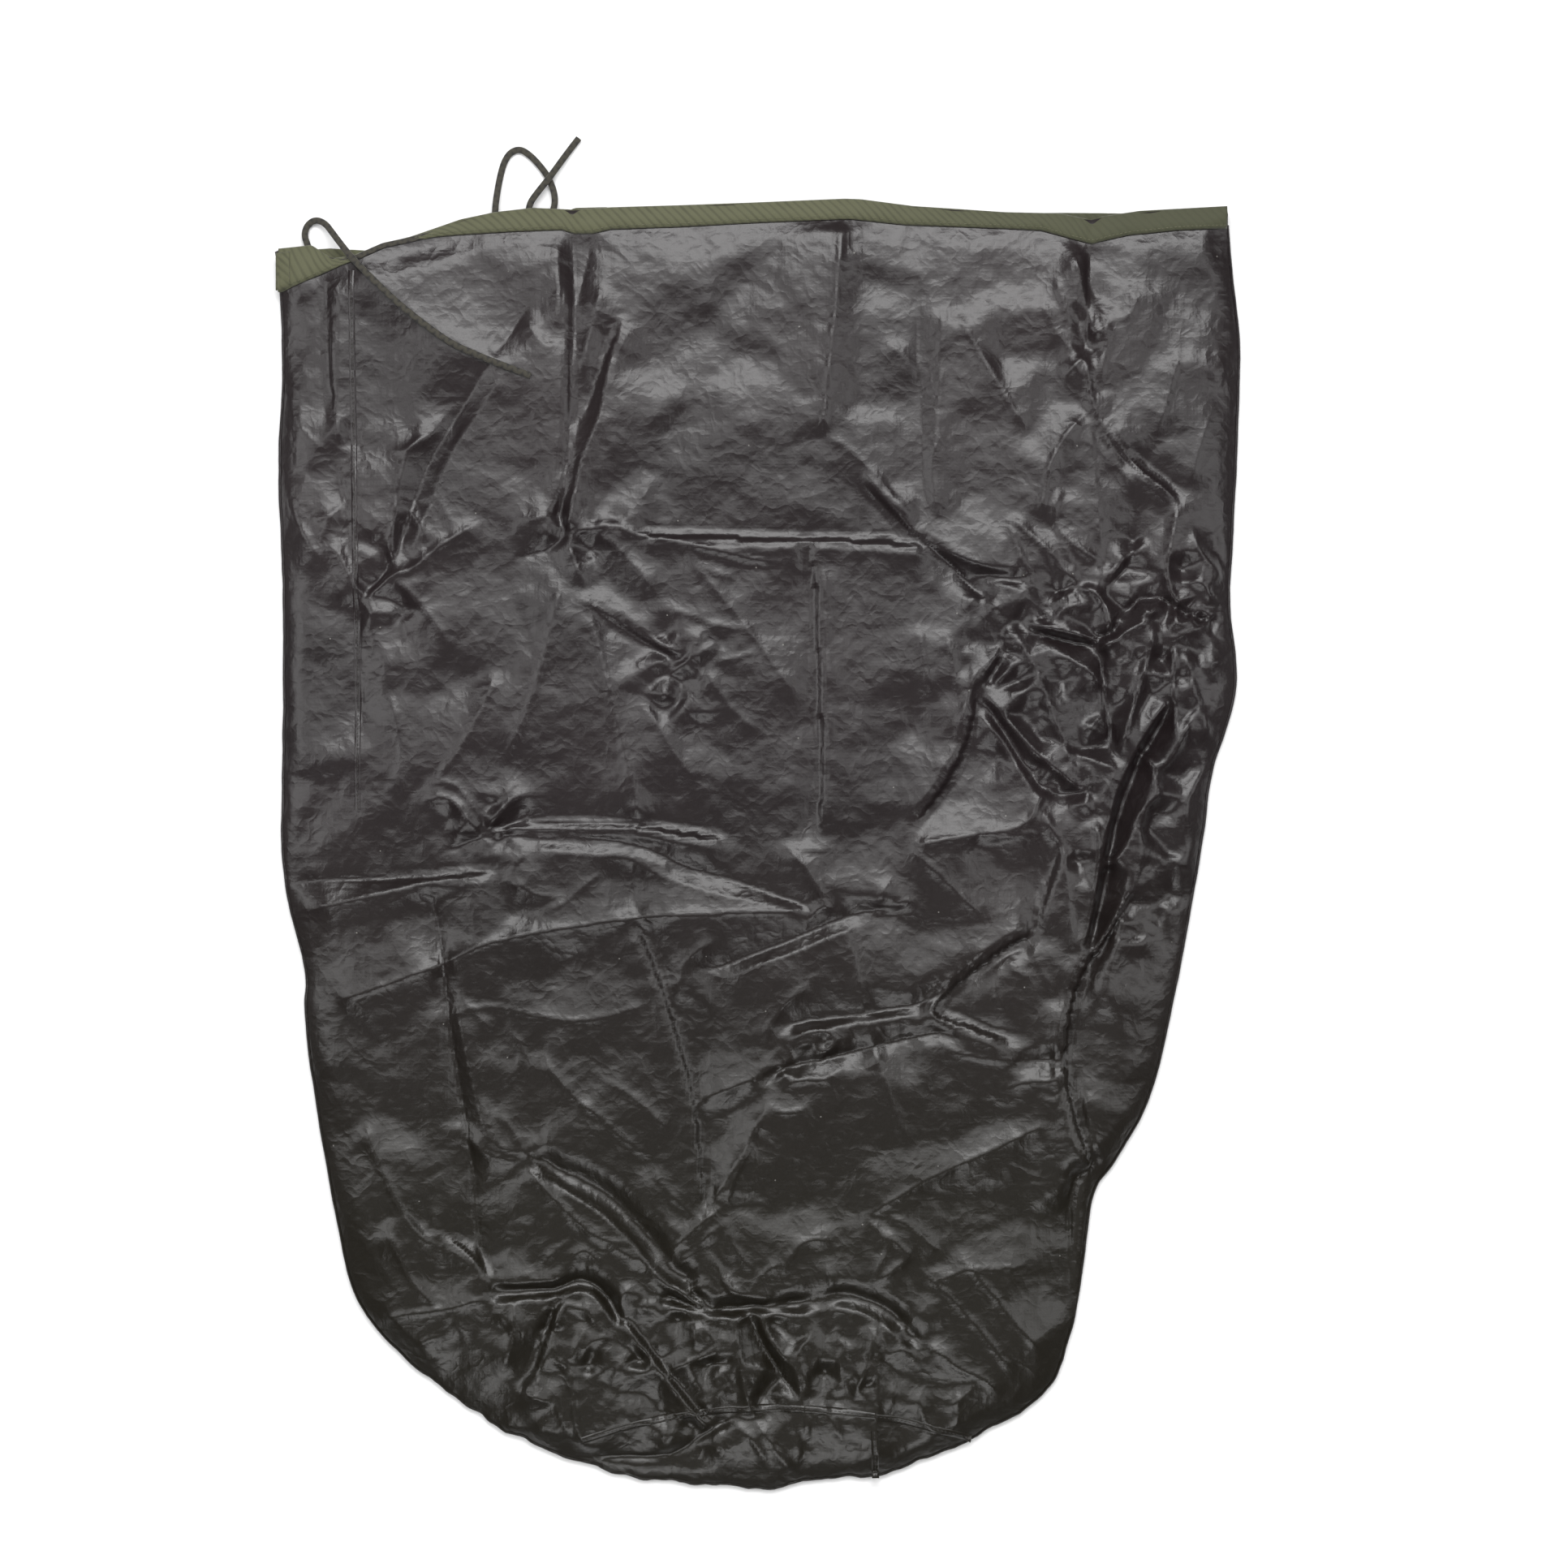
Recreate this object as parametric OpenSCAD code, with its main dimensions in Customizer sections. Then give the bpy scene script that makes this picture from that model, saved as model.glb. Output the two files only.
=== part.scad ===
// Waterproof bivy sack, laid flat on its back: millimetres, +Z up, +Y towards the mouth.
// The origin is on the floor, under the middle of the sack.

/* [Sack] */
// Width of the sack laid flat
sack_w = 786; // [640:1:960]
// Length from the foot to the highest point of the mouth
sack_l = 1048; // [860:1:1300]
// How far the right corner of the mouth stands in from the widest point
right_corner_in = 11; // [0:1:40]
// Distance below the right corner at which the side reaches its full width
right_edge_drop = 108; // [60:1:160]
// Distance of the right shoulder above the middle of the sack
shoulder_y = 140; // [60:1:240]
// Distance of the right edge from the middle where the taper ends
taper_x = 294; // [270:1:330]
// Distance of the end of the taper below the middle of the sack
taper_y = 250; // [150:1:270]
// Distance of the left edge's knee below the middle of the sack
knee_y = 30; // [0:1:120]

/* [Foot] */
// Distance of the foot's left side from the middle
foot_left = 345; // [300:1:380]
// Distance of the foot's right side from the middle
foot_right = 265; // [230:1:290]
// Radius of the foot's left corner
foot_left_r = 230; // [120:1:240]
// Radius of the foot's right corner
foot_right_r = 155; // [100:1:200]
// Length of the foot panel, from the end of the foot to the fold that the front turns on
foot_l = 74; // [60:1:120]
// Thickness of the gathered cloth around the end of the foot
foot_wall = 16; // [8:1:30]
// Length of the foot seam, straight across
foot_seam_l = 320; // [200:1:360]
// Height of the foot seam's arch
foot_seam_rise = 27; // [10:1:40]
// Where the dart in the foot lies, to the right of the middle
foot_dart_x = 94; // [60:1:120]
// Distance of the dart's end from the end of the foot
dart_end = 8; // [4:1:20]

/* [Cloth] */
// Height that the crumpled back panel takes up
back_t = 3; // [2:0.5:8]
// Height of the space inside the sack
inside_h = 8; // [6:0.5:30]
// Height that the crumpled front panel takes up
front_t = 10; // [6:0.5:20]
// Width of the folded cloth along each side
fold_w = 14; // [8:1:30]

/* [Mouth] */
// Drop of the left corner below the highest point of the mouth
left_corner_drop = 42; // [20:1:60]
// Drop of the dip beside the left corner
left_dip_drop = 49; // [20:1:60]
// Distance of the dip from the left corner
left_dip_in = 56; // [40:1:80]
// Drop where the mouth has risen again
left_rise_drop = 16; // [6:1:30]
// Distance of that place from the left corner
left_rise_in = 150; // [120:1:200]
// Drop at the shallow crest over the right tail of the drawcord
crest_drop = 7; // [0:1:20]
// Distance of the crest from the left corner
crest_in = 209; // [205:1:260]
// Distance of the highest point of the mouth to the right of the middle
top_x = 83; // [0:1:160]
// Drop of the dip near the right corner
right_dip_drop = 13; // [0:1:30]
// Distance of that dip from the right corner
right_dip_in = 110; // [60:1:140]
// Drop of the right corner
right_corner_drop = 7; // [0:1:30]

/* [Binding] */
// Width of the woven tape that shows on each side of the mouth
binding_w = 20; // [16:1:30]
// Thickness of the front binding over the gathered edge
front_binding_t = 6; // [5:0.2:8]
// Thickness of the back binding
back_binding_t = 4.6; // [4.6:0.2:6]
// Distance of the cord's channel from the tape's fold
channel_in = 2; // [1:0.5:3]
// Width of the cord's channel
channel_w = 7.5; // [6.5:0.5:8]
// How deep the panel's edge is tucked into the folded tape
tuck = 9; // [5:0.5:10]
// Thickness of the panel's edge inside the tape
tuck_t = 0.8; // [0.4:0.1:1]
// Length of the lap where the ends of the tape meet at the left corner
lap_l = 38; // [25:1:60]

/* [Seams] */
// Where the long seam lies, to the right of the left edge
long_seam_in = 66; // [45:1:120]
// Width of the lapped cloth at each seam
lap_w = 10; // [6:1:16]
// Thickness of the lapped cloth
lap_t = 0.8; // [0.4:0.1:1.5]
// Width of a row of stitches
stitch_w = 0.9; // [0.5:0.1:1.5]
// How far a row of stitches stands up
stitch_h = 0.4; // [0.2:0.1:0.8]
// Distance of the stitches from the edge of the cloth that they hold
stitch_in = 2.2; // [1.5:0.1:4]

/* [Drawcord] */
// Width of the flat braid
cord_w = 5.3; // [4:0.1:5.5]
// Thickness of the flat braid
cord_t = 2.7; // [1.5:0.1:2.8]
// Length of the buttonhole that each tail comes out of
buttonhole_l = 11; // [10:0.5:12]
// Distance of the left buttonhole from the left corner
left_hole_in = 29; // [20:1:50]
// Distance of the right buttonhole from the left corner
right_hole_in = 178; // [120:1:300]

/* [Hidden] */

cloth_colour = "#3b3835";
seam_colour = "#34312e";
tape_colour = "#5b6442";
thread_colour = "#6b6a50";
cord_colour = "#6a6357";

half_w = sack_w / 2;
half_l = sack_l / 2;
fold_gap = 0.3;                  // air between the front and what it lies on
hinge_gap = 0.5;                 // air between the front and the foot
side_gap = 0.5;                  // air between a side fold and the tape
channel_air = 0.2;               // air over the cord in its channel
tuck_air = 0.1;                  // air on each side of a tucked edge
corner_w = 12;                   // width of the tape that turns up at a corner
buttonhole_rim = 1.5;            // width of the close stitches around a slit
dart_gap = 2;                    // cloth between the foot seam and the dart
through = 1;                     // how far a cut runs past a face
arc_steps = 16;

front_z = back_t + inside_h + fold_gap;
top_z = front_z + front_t;
front_channel_z = front_z + (front_binding_t - cord_t) / 2;
back_channel_z = (back_binding_t - cord_t) / 2;
foot_y = -half_l + foot_l;
long_seam_x = -half_w + long_seam_in;

// The mouth line, from the left corner to the right one.
mouth_line = [
    [-half_w, half_l - left_corner_drop],
    [-half_w + left_dip_in, half_l - left_dip_drop],
    [-half_w + left_rise_in, half_l - left_rise_drop],
    [-half_w + crest_in, half_l - crest_drop],
    [top_x, half_l],
    [half_w - right_dip_in, half_l - right_dip_drop],
    [half_w - right_corner_in, half_l - right_corner_drop]
];

// The foot seam is an arc that rises to the middle of its length.
foot_seam_r = (pow(foot_seam_l / 2, 2) + pow(foot_seam_rise, 2)) / (2 * foot_seam_rise);
foot_seam_x = 15;                // middle of the arch
foot_seam_top = foot_y - 6;      // just below the fold that the front turns on
foot_seam_half_angle = asin(foot_seam_l / 2 / foot_seam_r);

// Each buttonhole lies in the binding, in the middle of its width.
left_hole = [-half_w + left_hole_in, mouth_y(-half_w + left_hole_in) - binding_w / 2];
right_hole = [-half_w + right_hole_in, mouth_y(-half_w + right_hole_in) - binding_w / 2];

// From its buttonhole, the left tail turns back over the binding and lies along the front panel.
at_hole = front_z - lap_t;       // height that the tail starts at
on_top = top_z + cord_t;         // height that it lies at on the front panel
left_tail_route = [
    [0, 0, at_hole], [0, 5, at_hole - 1.4], [-1, 12, at_hole - 3], [-4, 20, at_hole - 5.2],
    [-7, 28, 3.4], [-5, 36, 3.2], [2, 41, 4.5], [10.5, 37.5, 7.4],
    [17, 29, on_top - 12.8], [23, 21, on_top - 9], [30, 12, on_top - 5.4], [38, 3, on_top - 2.8],
    [47, -6, on_top - 1], [56, -15, on_top], [71, -29, on_top], [81, -37.5, on_top],
    [92, -46, on_top], [102.5, -54, on_top], [113, -61, on_top], [123.5, -66.5, on_top],
    [134, -71, on_top], [144.5, -75.5, on_top], [155, -79.5, on_top], [167, -84, on_top],
    [179, -88.5, on_top]
];

// From its buttonhole, the right tail loops over the floor, turns in the mouth and crosses itself.
right_tail_route = [
    [0, 0, 5.3], [0, 6, 6.7], [0, 13, 7], [0.5, 21, 5.6], [2, 32, 3.6], [4, 43, 2.8],
    [7, 54, 2.8], [12, 62, 2.8], [20, 65, 2.8], [28.5, 59.5, 2.8], [36, 51.5, 2.8],
    [42.5, 43, 2.8], [47, 33, 2.8], [49, 23, 4.8], [47.5, 13.5, 6.8], [42, 6, 7.1],
    [33.5, 5, 7.1], [27.5, 11, 7.2], [28, 19.5, 7.4], [35, 29, 7.8], [44, 40, 7.8],
    [52, 51.5, 6.2], [60, 63, 3.6], [68, 73.5, 2.8]
];
tail_sides = 10;

// Points of an arc, from one angle to the other.
function arc(centre, r, from, to) = [
    for (i = [0 : arc_steps])
        let (a = from + (to - from) * i / arc_steps)
        centre + r * [cos(a), sin(a)]
];

function reversed(points) = [for (i = [len(points) - 1 : -1 : 0]) points[i]];

// The mouth line moved towards the foot, with its corners moved inwards.
function mouth(down, edge = 0) = [
    for (i = [0 : len(mouth_line) - 1])
        mouth_line[i] + [(i == 0 ? edge : 0) - (i == len(mouth_line) - 1 ? edge : 0), -down]
];

function mouth_y(x) = lookup(x, mouth_line);

// The sack's outline, drawn in from its sides and from its mouth.
function outline(edge, down) = concat(
    mouth(down, edge),
    [
        [half_w - edge, half_l - right_corner_drop - right_edge_drop],
        [half_w - edge, shoulder_y],
        [taper_x - edge, -taper_y]
    ],
    arc([foot_right - foot_right_r, -half_l + foot_right_r], foot_right_r - edge, 0, -90),
    arc([-foot_left + foot_left_r, -half_l + foot_left_r], foot_left_r - edge, -90, -180),
    [[-half_w + edge, -knee_y]]
);

// Everything on the mouth's side of the fold at the foot.
module above_foot(from = foot_y) {
    translate([-sack_w, from])
        square([2 * sack_w, 2 * sack_l]);
}

// A plate of one outline, at one height.
module slab(z, h) {
    translate([0, 0, z])
        linear_extrude(h)
            children();
}

// Everything between two lines that run from the foot to the mouth.
module column(x, width) {
    translate([x, -sack_l])
        square([width, 2 * sack_l]);
}

// A strip that follows the mouth, between two distances from it.
module mouth_strip(from, to, edge = 0) {
    polygon(concat(mouth(from, edge), reversed(mouth(to, edge))));
}

// A strip that follows the foot seam, below its top edge.
module foot_seam_strip(from, to) {
    centre = [foot_seam_x, foot_seam_top - foot_seam_r];
    polygon(concat(
        arc(centre, foot_seam_r - from, 90 - foot_seam_half_angle, 90 + foot_seam_half_angle),
        arc(centre, foot_seam_r - to, 90 + foot_seam_half_angle, 90 - foot_seam_half_angle)
    ));
}

// One side's wall of folded cloth: side is -1 on the left and 1 on the right.
module side_fold(side) {
    slab(back_t, inside_h)
        intersection() {
            difference() {
                polygon(outline(0, binding_w + side_gap));
                polygon(outline(fold_w, -sack_l));
            }
            above_foot();
            column(side < 0 ? -sack_w : 0, sack_w);
        }
}

// The folded tape: a channel for the cord, and a slot for the panel's edge.
module binding(z, h, channel_z) {
    difference() {
        slab(z, h)
            mouth_strip(0, binding_w);
        slab(channel_z, cord_t + channel_air)
            mouth_strip(channel_in, channel_in + channel_w, -through);
        slab(z + (h - tuck_t) / 2 - tuck_air, tuck_t + 2 * tuck_air)
            mouth_strip(binding_w - tuck - tuck_air, binding_w + through, -through);
    }
}

// The panel's edge, where it goes into the tape.
module tucked_edge(z, h) {
    slab(z + (h - tuck_t) / 2, tuck_t)
        mouth_strip(binding_w - tuck, binding_w);
}

module stitch_row(z) {
    slab(z, stitch_h)
        mouth_strip(binding_w - stitch_in - stitch_w, binding_w - stitch_in, stitch_in);
}

// The captive length of the cord, lying on the floor of its channel.
module cord_run(z, from_x) {
    slack = (channel_w - cord_w) / 2;
    slab(z, cord_t)
        intersection() {
            mouth_strip(channel_in + slack, channel_in + slack + cord_w);
            column(from_x, half_w - 2 * corner_w - from_x);
        }
}

// An oval of close stitches around the slit that a tail comes out of.
module buttonhole(hole, z) {
    width = cord_w + 2 * buttonhole_rim;
    translate([hole.x, hole.y, z])
        linear_extrude(lap_t)
            union() {
                square([width, buttonhole_l - width], center = true);
                for (end = [-1, 1])
                    translate([0, end * (buttonhole_l - width) / 2])
                        circle(d = width, $fn = 32);
            }
}

// One ring of the flat braid, square to the route at point i.
function ring(route, i) =
    let (
        before = route[max(i - 1, 0)],
        after = route[min(i + 1, len(route) - 1)],
        along = (after - before) / norm(after - before),
        flat = cross([0, 0, 1], along),
        side = flat / norm(flat),
        up = cross(along, side)
    )
    [for (k = [0 : tail_sides - 1])
        let (a = 360 * k / tail_sides)
        route[i] + cord_w / 2 * cos(a) * side + cord_t / 2 * sin(a) * up];

// The flat braid swept along a route from its buttonhole, as one closed skin.
module cord_tail(hole, route) {
    last = len(route) - 1;
    n = tail_sides;
    translate([hole.x, hole.y, 0]) polyhedron(
        [for (i = [0 : last]) each ring(route, i)],
        concat(
            [[for (k = [0 : n - 1]) k]],
            [for (i = [0 : last - 1], k = [0 : n - 1])
                [i * n + k, (i + 1) * n + k, (i + 1) * n + (k + 1) % n, i * n + (k + 1) % n]],
            [[for (k = [n - 1 : -1 : 0]) last * n + k]]
        ),
        convexity = 4
    );
}

module back_panel() {
    color(cloth_colour) {
        slab(0, back_t)
            intersection() {
                polygon(outline(0, binding_w));
                above_foot();
            }
        tucked_edge(0, back_binding_t);
    }
}

module left_side_fold() {
    color(cloth_colour)
        side_fold(-1);
}

module right_side_fold() {
    color(cloth_colour)
        side_fold(1);
}

module foot_panel() {
    color(cloth_colour)
        difference() {
            slab(0, top_z)
                difference() {
                    polygon(outline(0, 0));
                    above_foot();
                }
            slab(back_t, inside_h)
                polygon(outline(foot_wall, -sack_l));
        }
}

module foot_seam_lap() {
    color(seam_colour)
        slab(top_z, lap_t)
            foot_seam_strip(0, lap_w);
}

module foot_seam_stitches() {
    color(thread_colour)
        slab(top_z + lap_t, stitch_h)
            foot_seam_strip(stitch_in, stitch_in + stitch_w);
}

module foot_dart_lap() {
    color(seam_colour)
        slab(top_z, lap_t)
            dart_strip(lap_w);
}

module foot_dart_stitches() {
    color(thread_colour)
        slab(top_z + lap_t, stitch_h)
            dart_strip(stitch_w);
}

// The dart runs from under the foot seam almost to the end of the foot.
module dart_strip(width) {
    off_centre = foot_dart_x + lap_w - foot_seam_x;
    seam_fall = foot_seam_r - sqrt(pow(foot_seam_r, 2) - pow(off_centre, 2));
    start = foot_seam_top - seam_fall - lap_w - dart_gap;
    end = -half_l + dart_end;
    translate([foot_dart_x - width / 2, end])
        square([width, start - end]);
}

module back_binding() {
    color(tape_colour) {
        binding(0, back_binding_t, back_channel_z);
        slab(back_binding_t, front_z - fold_gap - back_binding_t)
            intersection() {
                mouth_strip(0, binding_w);
                column(half_w - right_corner_in - corner_w, 2 * corner_w);
            }
    }
}

module back_binding_stitches() {
    color(thread_colour)
        difference() {
            stitch_row(back_binding_t);
            slab(0, top_z) {
                column(-half_w, corner_w);
                column(half_w - right_corner_in - corner_w, corner_w);
            }
        }
}

// The end of the tape turns up at the left corner and laps over its other end.
module binding_lap() {
    color(tape_colour) {
        slab(back_binding_t, front_z - fold_gap - back_binding_t)
            intersection() {
                mouth_strip(0, binding_w);
                column(-half_w, corner_w - side_gap);
            }
    }
}

// A bar of close stitches across the lap.
module binding_lap_stitches() {
    color(thread_colour)
        slab(back_binding_t, stitch_h)
            intersection() {
                mouth_strip(stitch_in, binding_w - 2 * stitch_in - stitch_w);
                column(-half_w + lap_l, 2 * stitch_w);
            }
}

module drawcord_back_run() {
    color(cord_colour)
        cord_run(back_channel_z, right_hole.x);
}

module drawcord_front_run() {
    color(cord_colour)
        cord_run(front_channel_z, left_hole.x);
}

module right_cord_buttonhole() {
    color(thread_colour)
        buttonhole(right_hole, back_binding_t);
}

module left_cord_buttonhole() {
    color(thread_colour)
        buttonhole(left_hole, front_z - lap_t);
}

module drawcord_right_tail() {
    color(cord_colour)
        cord_tail(right_hole, right_tail_route);
}

module drawcord_left_tail() {
    color(cord_colour)
        cord_tail(left_hole, left_tail_route);
}

module front_panel() {
    color(cloth_colour) {
        slab(front_z, front_t)
            intersection() {
                polygon(outline(0, binding_w));
                above_foot(foot_y + hinge_gap);
            }
        tucked_edge(front_z, front_binding_t);
    }
}

// The long seam runs from the binding down the left of the front panel.
module long_seam_strip(width) {
    intersection() {
        polygon(outline(fold_w, binding_w));
        above_foot(foot_y + hinge_gap);
        column(long_seam_x - width / 2, width);
    }
}

module long_seam_lap() {
    color(seam_colour)
        slab(top_z, lap_t)
            long_seam_strip(lap_w);
}

module long_seam_stitches() {
    color(thread_colour)
        slab(top_z + lap_t, stitch_h)
            long_seam_strip(stitch_w);
}

module front_binding() {
    color(tape_colour)
        binding(front_z, front_binding_t, front_channel_z);
}

module front_binding_stitches() {
    color(thread_colour)
        stitch_row(front_z + front_binding_t);
}

back_panel();
left_side_fold();
right_side_fold();
foot_panel();
foot_seam_lap();
foot_seam_stitches();
foot_dart_lap();
foot_dart_stitches();
back_binding();
back_binding_stitches();
binding_lap();
binding_lap_stitches();
drawcord_back_run();
right_cord_buttonhole();
drawcord_right_tail();
front_panel();
long_seam_lap();
long_seam_stitches();
front_binding();
front_binding_stitches();
drawcord_front_run();
left_cord_buttonhole();
drawcord_left_tail();
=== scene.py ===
import math

import bmesh
import bpy
import numpy as np
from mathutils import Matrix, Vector, noise
from mathutils.bvhtree import BVHTree
from mathutils.geometry import delaunay_2d_cdt


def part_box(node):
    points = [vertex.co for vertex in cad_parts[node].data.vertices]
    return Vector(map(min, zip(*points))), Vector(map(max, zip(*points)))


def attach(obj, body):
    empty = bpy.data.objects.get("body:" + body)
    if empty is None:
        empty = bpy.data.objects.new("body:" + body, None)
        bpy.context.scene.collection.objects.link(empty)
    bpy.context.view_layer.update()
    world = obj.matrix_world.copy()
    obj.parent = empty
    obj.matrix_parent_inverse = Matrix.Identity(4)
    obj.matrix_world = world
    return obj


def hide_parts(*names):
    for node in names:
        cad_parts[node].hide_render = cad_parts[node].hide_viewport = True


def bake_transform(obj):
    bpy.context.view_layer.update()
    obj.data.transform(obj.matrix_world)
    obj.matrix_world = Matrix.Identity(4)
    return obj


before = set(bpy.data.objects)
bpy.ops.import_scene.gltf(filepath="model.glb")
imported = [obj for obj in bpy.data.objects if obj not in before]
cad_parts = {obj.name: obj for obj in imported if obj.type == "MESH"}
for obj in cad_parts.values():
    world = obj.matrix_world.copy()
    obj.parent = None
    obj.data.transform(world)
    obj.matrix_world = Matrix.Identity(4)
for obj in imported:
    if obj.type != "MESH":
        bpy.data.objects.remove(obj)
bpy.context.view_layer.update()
mm = 0.001

studio = {
    "lens": 85,              # a short telephoto, straight above
    "viewWidth": 1.275,      # what the frame takes in at the height of the cloth
    "centre": (0.0205, 0.0488),
    "clothHeight": 0.014,
    "sky": 0.12,
    "lights": {              # place, size and watts of each softbox
        "overTheMouth": ((0.1, 1.9, 2.6), (2.6, 1.1), 84),
        "overhead": ((0.0, 0.9, 3.6), (2.6, 1.6), 32),
        "left": ((-2.1, 0.3, 2.2), (1.3, 2.0), 27),
        "right": ((2.1, 0.1, 2.2), (1.3, 2.0), 21),
        "overTheFoot": ((-0.2, -2.2, 2.2), (2.0, 1.0), 26),
    },
}


def makeCamera():
    sensor = 36
    distance = studio["viewWidth"] / sensor * studio["lens"]
    data = bpy.data.cameras.new("camera")
    data.lens = studio["lens"]
    data.sensor_width = sensor
    camera = bpy.data.objects.new("camera", data)
    camera.location = (*studio["centre"], studio["clothHeight"] + distance)
    bpy.context.scene.collection.objects.link(camera)
    bpy.context.scene.camera = camera


makeCamera()


def addMesh(name, vertices, faces):
    mesh = bpy.data.meshes.new(name)
    mesh.from_pydata([tuple(v) for v in vertices], [], [tuple(f) for f in faces])
    mesh.update()
    piece = bpy.data.objects.new(name, mesh)
    bpy.context.scene.collection.objects.link(piece)
    mesh.polygons.foreach_set("use_smooth", [True] * len(mesh.polygons))
    return piece


def activate(piece):
    bpy.ops.object.select_all(action="DESELECT")
    piece.select_set(True)
    bpy.context.view_layer.objects.active = piece


# one of Blender's edits, on the whole of a piece
def editAll(piece, edit, **settings):
    activate(piece)
    bpy.ops.object.mode_set(mode="EDIT")
    bpy.ops.mesh.select_all(action="SELECT")
    edit(**settings)
    bpy.ops.object.mode_set(mode="OBJECT")


def readPoints(mesh):
    co = np.empty(len(mesh.vertices) * 3)
    mesh.vertices.foreach_get("co", co)
    return co.reshape(-1, 3)


# how far along a line each of its points is
def farAlong(points):
    return np.concatenate([[0], np.cumsum(np.linalg.norm(np.diff(points, axis=0), axis=1))])


# sweeps a closed section along a line; the UV map holds metres along it and turns around it
def sweep(name, path, section, twist=None):
    path = np.asarray(path, float)
    along = np.gradient(path, axis=0)
    along /= np.linalg.norm(along, axis=1)[:, None]
    side = np.cross([0, 0, 1], along)
    side /= np.linalg.norm(side, axis=1)[:, None]
    up = np.cross(along, side)
    if twist is not None:
        turn = np.asarray(twist)[:, None]
        side, up = side * np.cos(turn) + up * np.sin(turn), up * np.cos(turn) - side * np.sin(turn)
    n = len(section)
    rings = np.stack([path + side * a + up * b for a, b in section], axis=1)
    faces = []
    for i in range(len(path) - 1):
        for k in range(n):
            nextK = (k + 1) % n
            faces.append((i * n + k, i * n + nextK, (i + 1) * n + nextK, (i + 1) * n + k))
    faces.append(tuple(range(n - 1, -1, -1)))
    faces.append(tuple((len(path) - 1) * n + k for k in range(n)))
    piece = addMesh(name, rings.reshape(-1, 3), faces)
    far = farAlong(path)
    uv = piece.data.uv_layers.new(name="along")
    for face in piece.data.polygons:
        for loop in face.loop_indices:
            ring, k = divmod(piece.data.loops[loop].vertex_index, n)
            wrapped = face.index < (len(path) - 1) * n and k == 0 and face.index % n == n - 1
            uv.data[loop].uv = (far[ring], 1.0 if wrapped else k / n)
    return piece


# rounds off a line of points by cutting its corners
def smoothLine(points, rounds=2):
    p = np.array(points, float)
    for _ in range(rounds):
        cut = np.empty((2 * (len(p) - 1), p.shape[1]))
        cut[0::2] = p[:-1] * 0.75 + p[1:] * 0.25
        cut[1::2] = p[:-1] * 0.25 + p[1:] * 0.75
        p = np.vstack([p[:1], cut, p[-1:]])
    return p


# the same line, with points a step apart
def evenly(points, step):
    p = np.array(points, float)
    far = farAlong(p)
    at = np.linspace(0, far[-1], max(2, int(round(far[-1] / step)) + 1))
    return np.stack([np.interp(at, far, p[:, k]) for k in range(p.shape[1])], axis=1)


# the direction to the left of a flat line, at each of its points
def leftOf(line):
    along = np.gradient(line, axis=0)
    along /= np.linalg.norm(along, axis=1)[:, None]
    return np.column_stack([-along[:, 1], along[:, 0]])


# distance, side and place along the line, for each point of xy
def nearest(xy, line):
    best = np.full(len(xy), 1e9)
    side = np.zeros(len(xy))
    along = np.zeros(len(xy))
    lengths = np.linalg.norm(np.diff(line, axis=0), axis=1)
    starts = np.concatenate([[0], np.cumsum(lengths)])
    for k, (a, b) in enumerate(zip(line[:-1], line[1:])):
        d = b - a
        rel = xy - a
        t = np.clip(rel @ d / (d @ d), 0, 1)
        off = rel - t[:, None] * d
        dist = np.hypot(off[:, 0], off[:, 1])
        near = dist < best
        best[near] = dist[near]
        side[near] = np.sign(d[0] * rel[near, 1] - d[1] * rel[near, 0])
        along[near] = starts[k] + t[near] * lengths[k]
    return best, side, along


def middleOf(node):
    low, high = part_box(node)
    return (low + high) / 2


# The free ends of the drawcord: a flat tubular braid. Metres, from the middle of each buttonhole.
cord = {
    "width": 0.0053,
    "thick": 0.0027,
    "sides": 16,
    "step": 0.0009,          # between the rings of the tube
    "leftLength": 0.27,
    "rightLength": 0.235,
    "insideEnd": 368,        # the right end of the runs inside the tape, mm
    "insideLift": 1.0,       # their height over the cloth, mm
    "insidePressed": (0.8, 0.5),     # their share of the width and of the thickness
}
leftHole = middleOf("left_cord_buttonhole")
rightHole = middleOf("right_cord_buttonhole")
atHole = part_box("left_cord_buttonhole")[0].z
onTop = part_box("front_panel")[1].z + cord["thick"]
leftTail = [
    (0, 0, atHole), (0, 0.005, atHole - 0.0014), (-0.001, 0.012, atHole - 0.003),
    (-0.004, 0.02, atHole - 0.0052), (-0.007, 0.028, 0.0034), (-0.005, 0.036, 0.0032),
    (0.002, 0.041, 0.0045), (0.0105, 0.0375, 0.0074),
    (0.017, 0.029, onTop - 0.0128), (0.023, 0.021, onTop - 0.009), (0.03, 0.012, onTop - 0.0054),
    (0.038, 0.003, onTop - 0.0028), (0.047, -0.006, onTop - 0.001), (0.056, -0.015, onTop),
    (0.071, -0.029, onTop), (0.081, -0.0375, onTop), (0.092, -0.046, onTop), (0.1025, -0.054, onTop),
    (0.113, -0.061, onTop), (0.1235, -0.0665, onTop), (0.134, -0.071, onTop), (0.1445, -0.0755, onTop),
    (0.155, -0.0795, onTop), (0.167, -0.084, onTop), (0.179, -0.0885, onTop),
]
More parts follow.
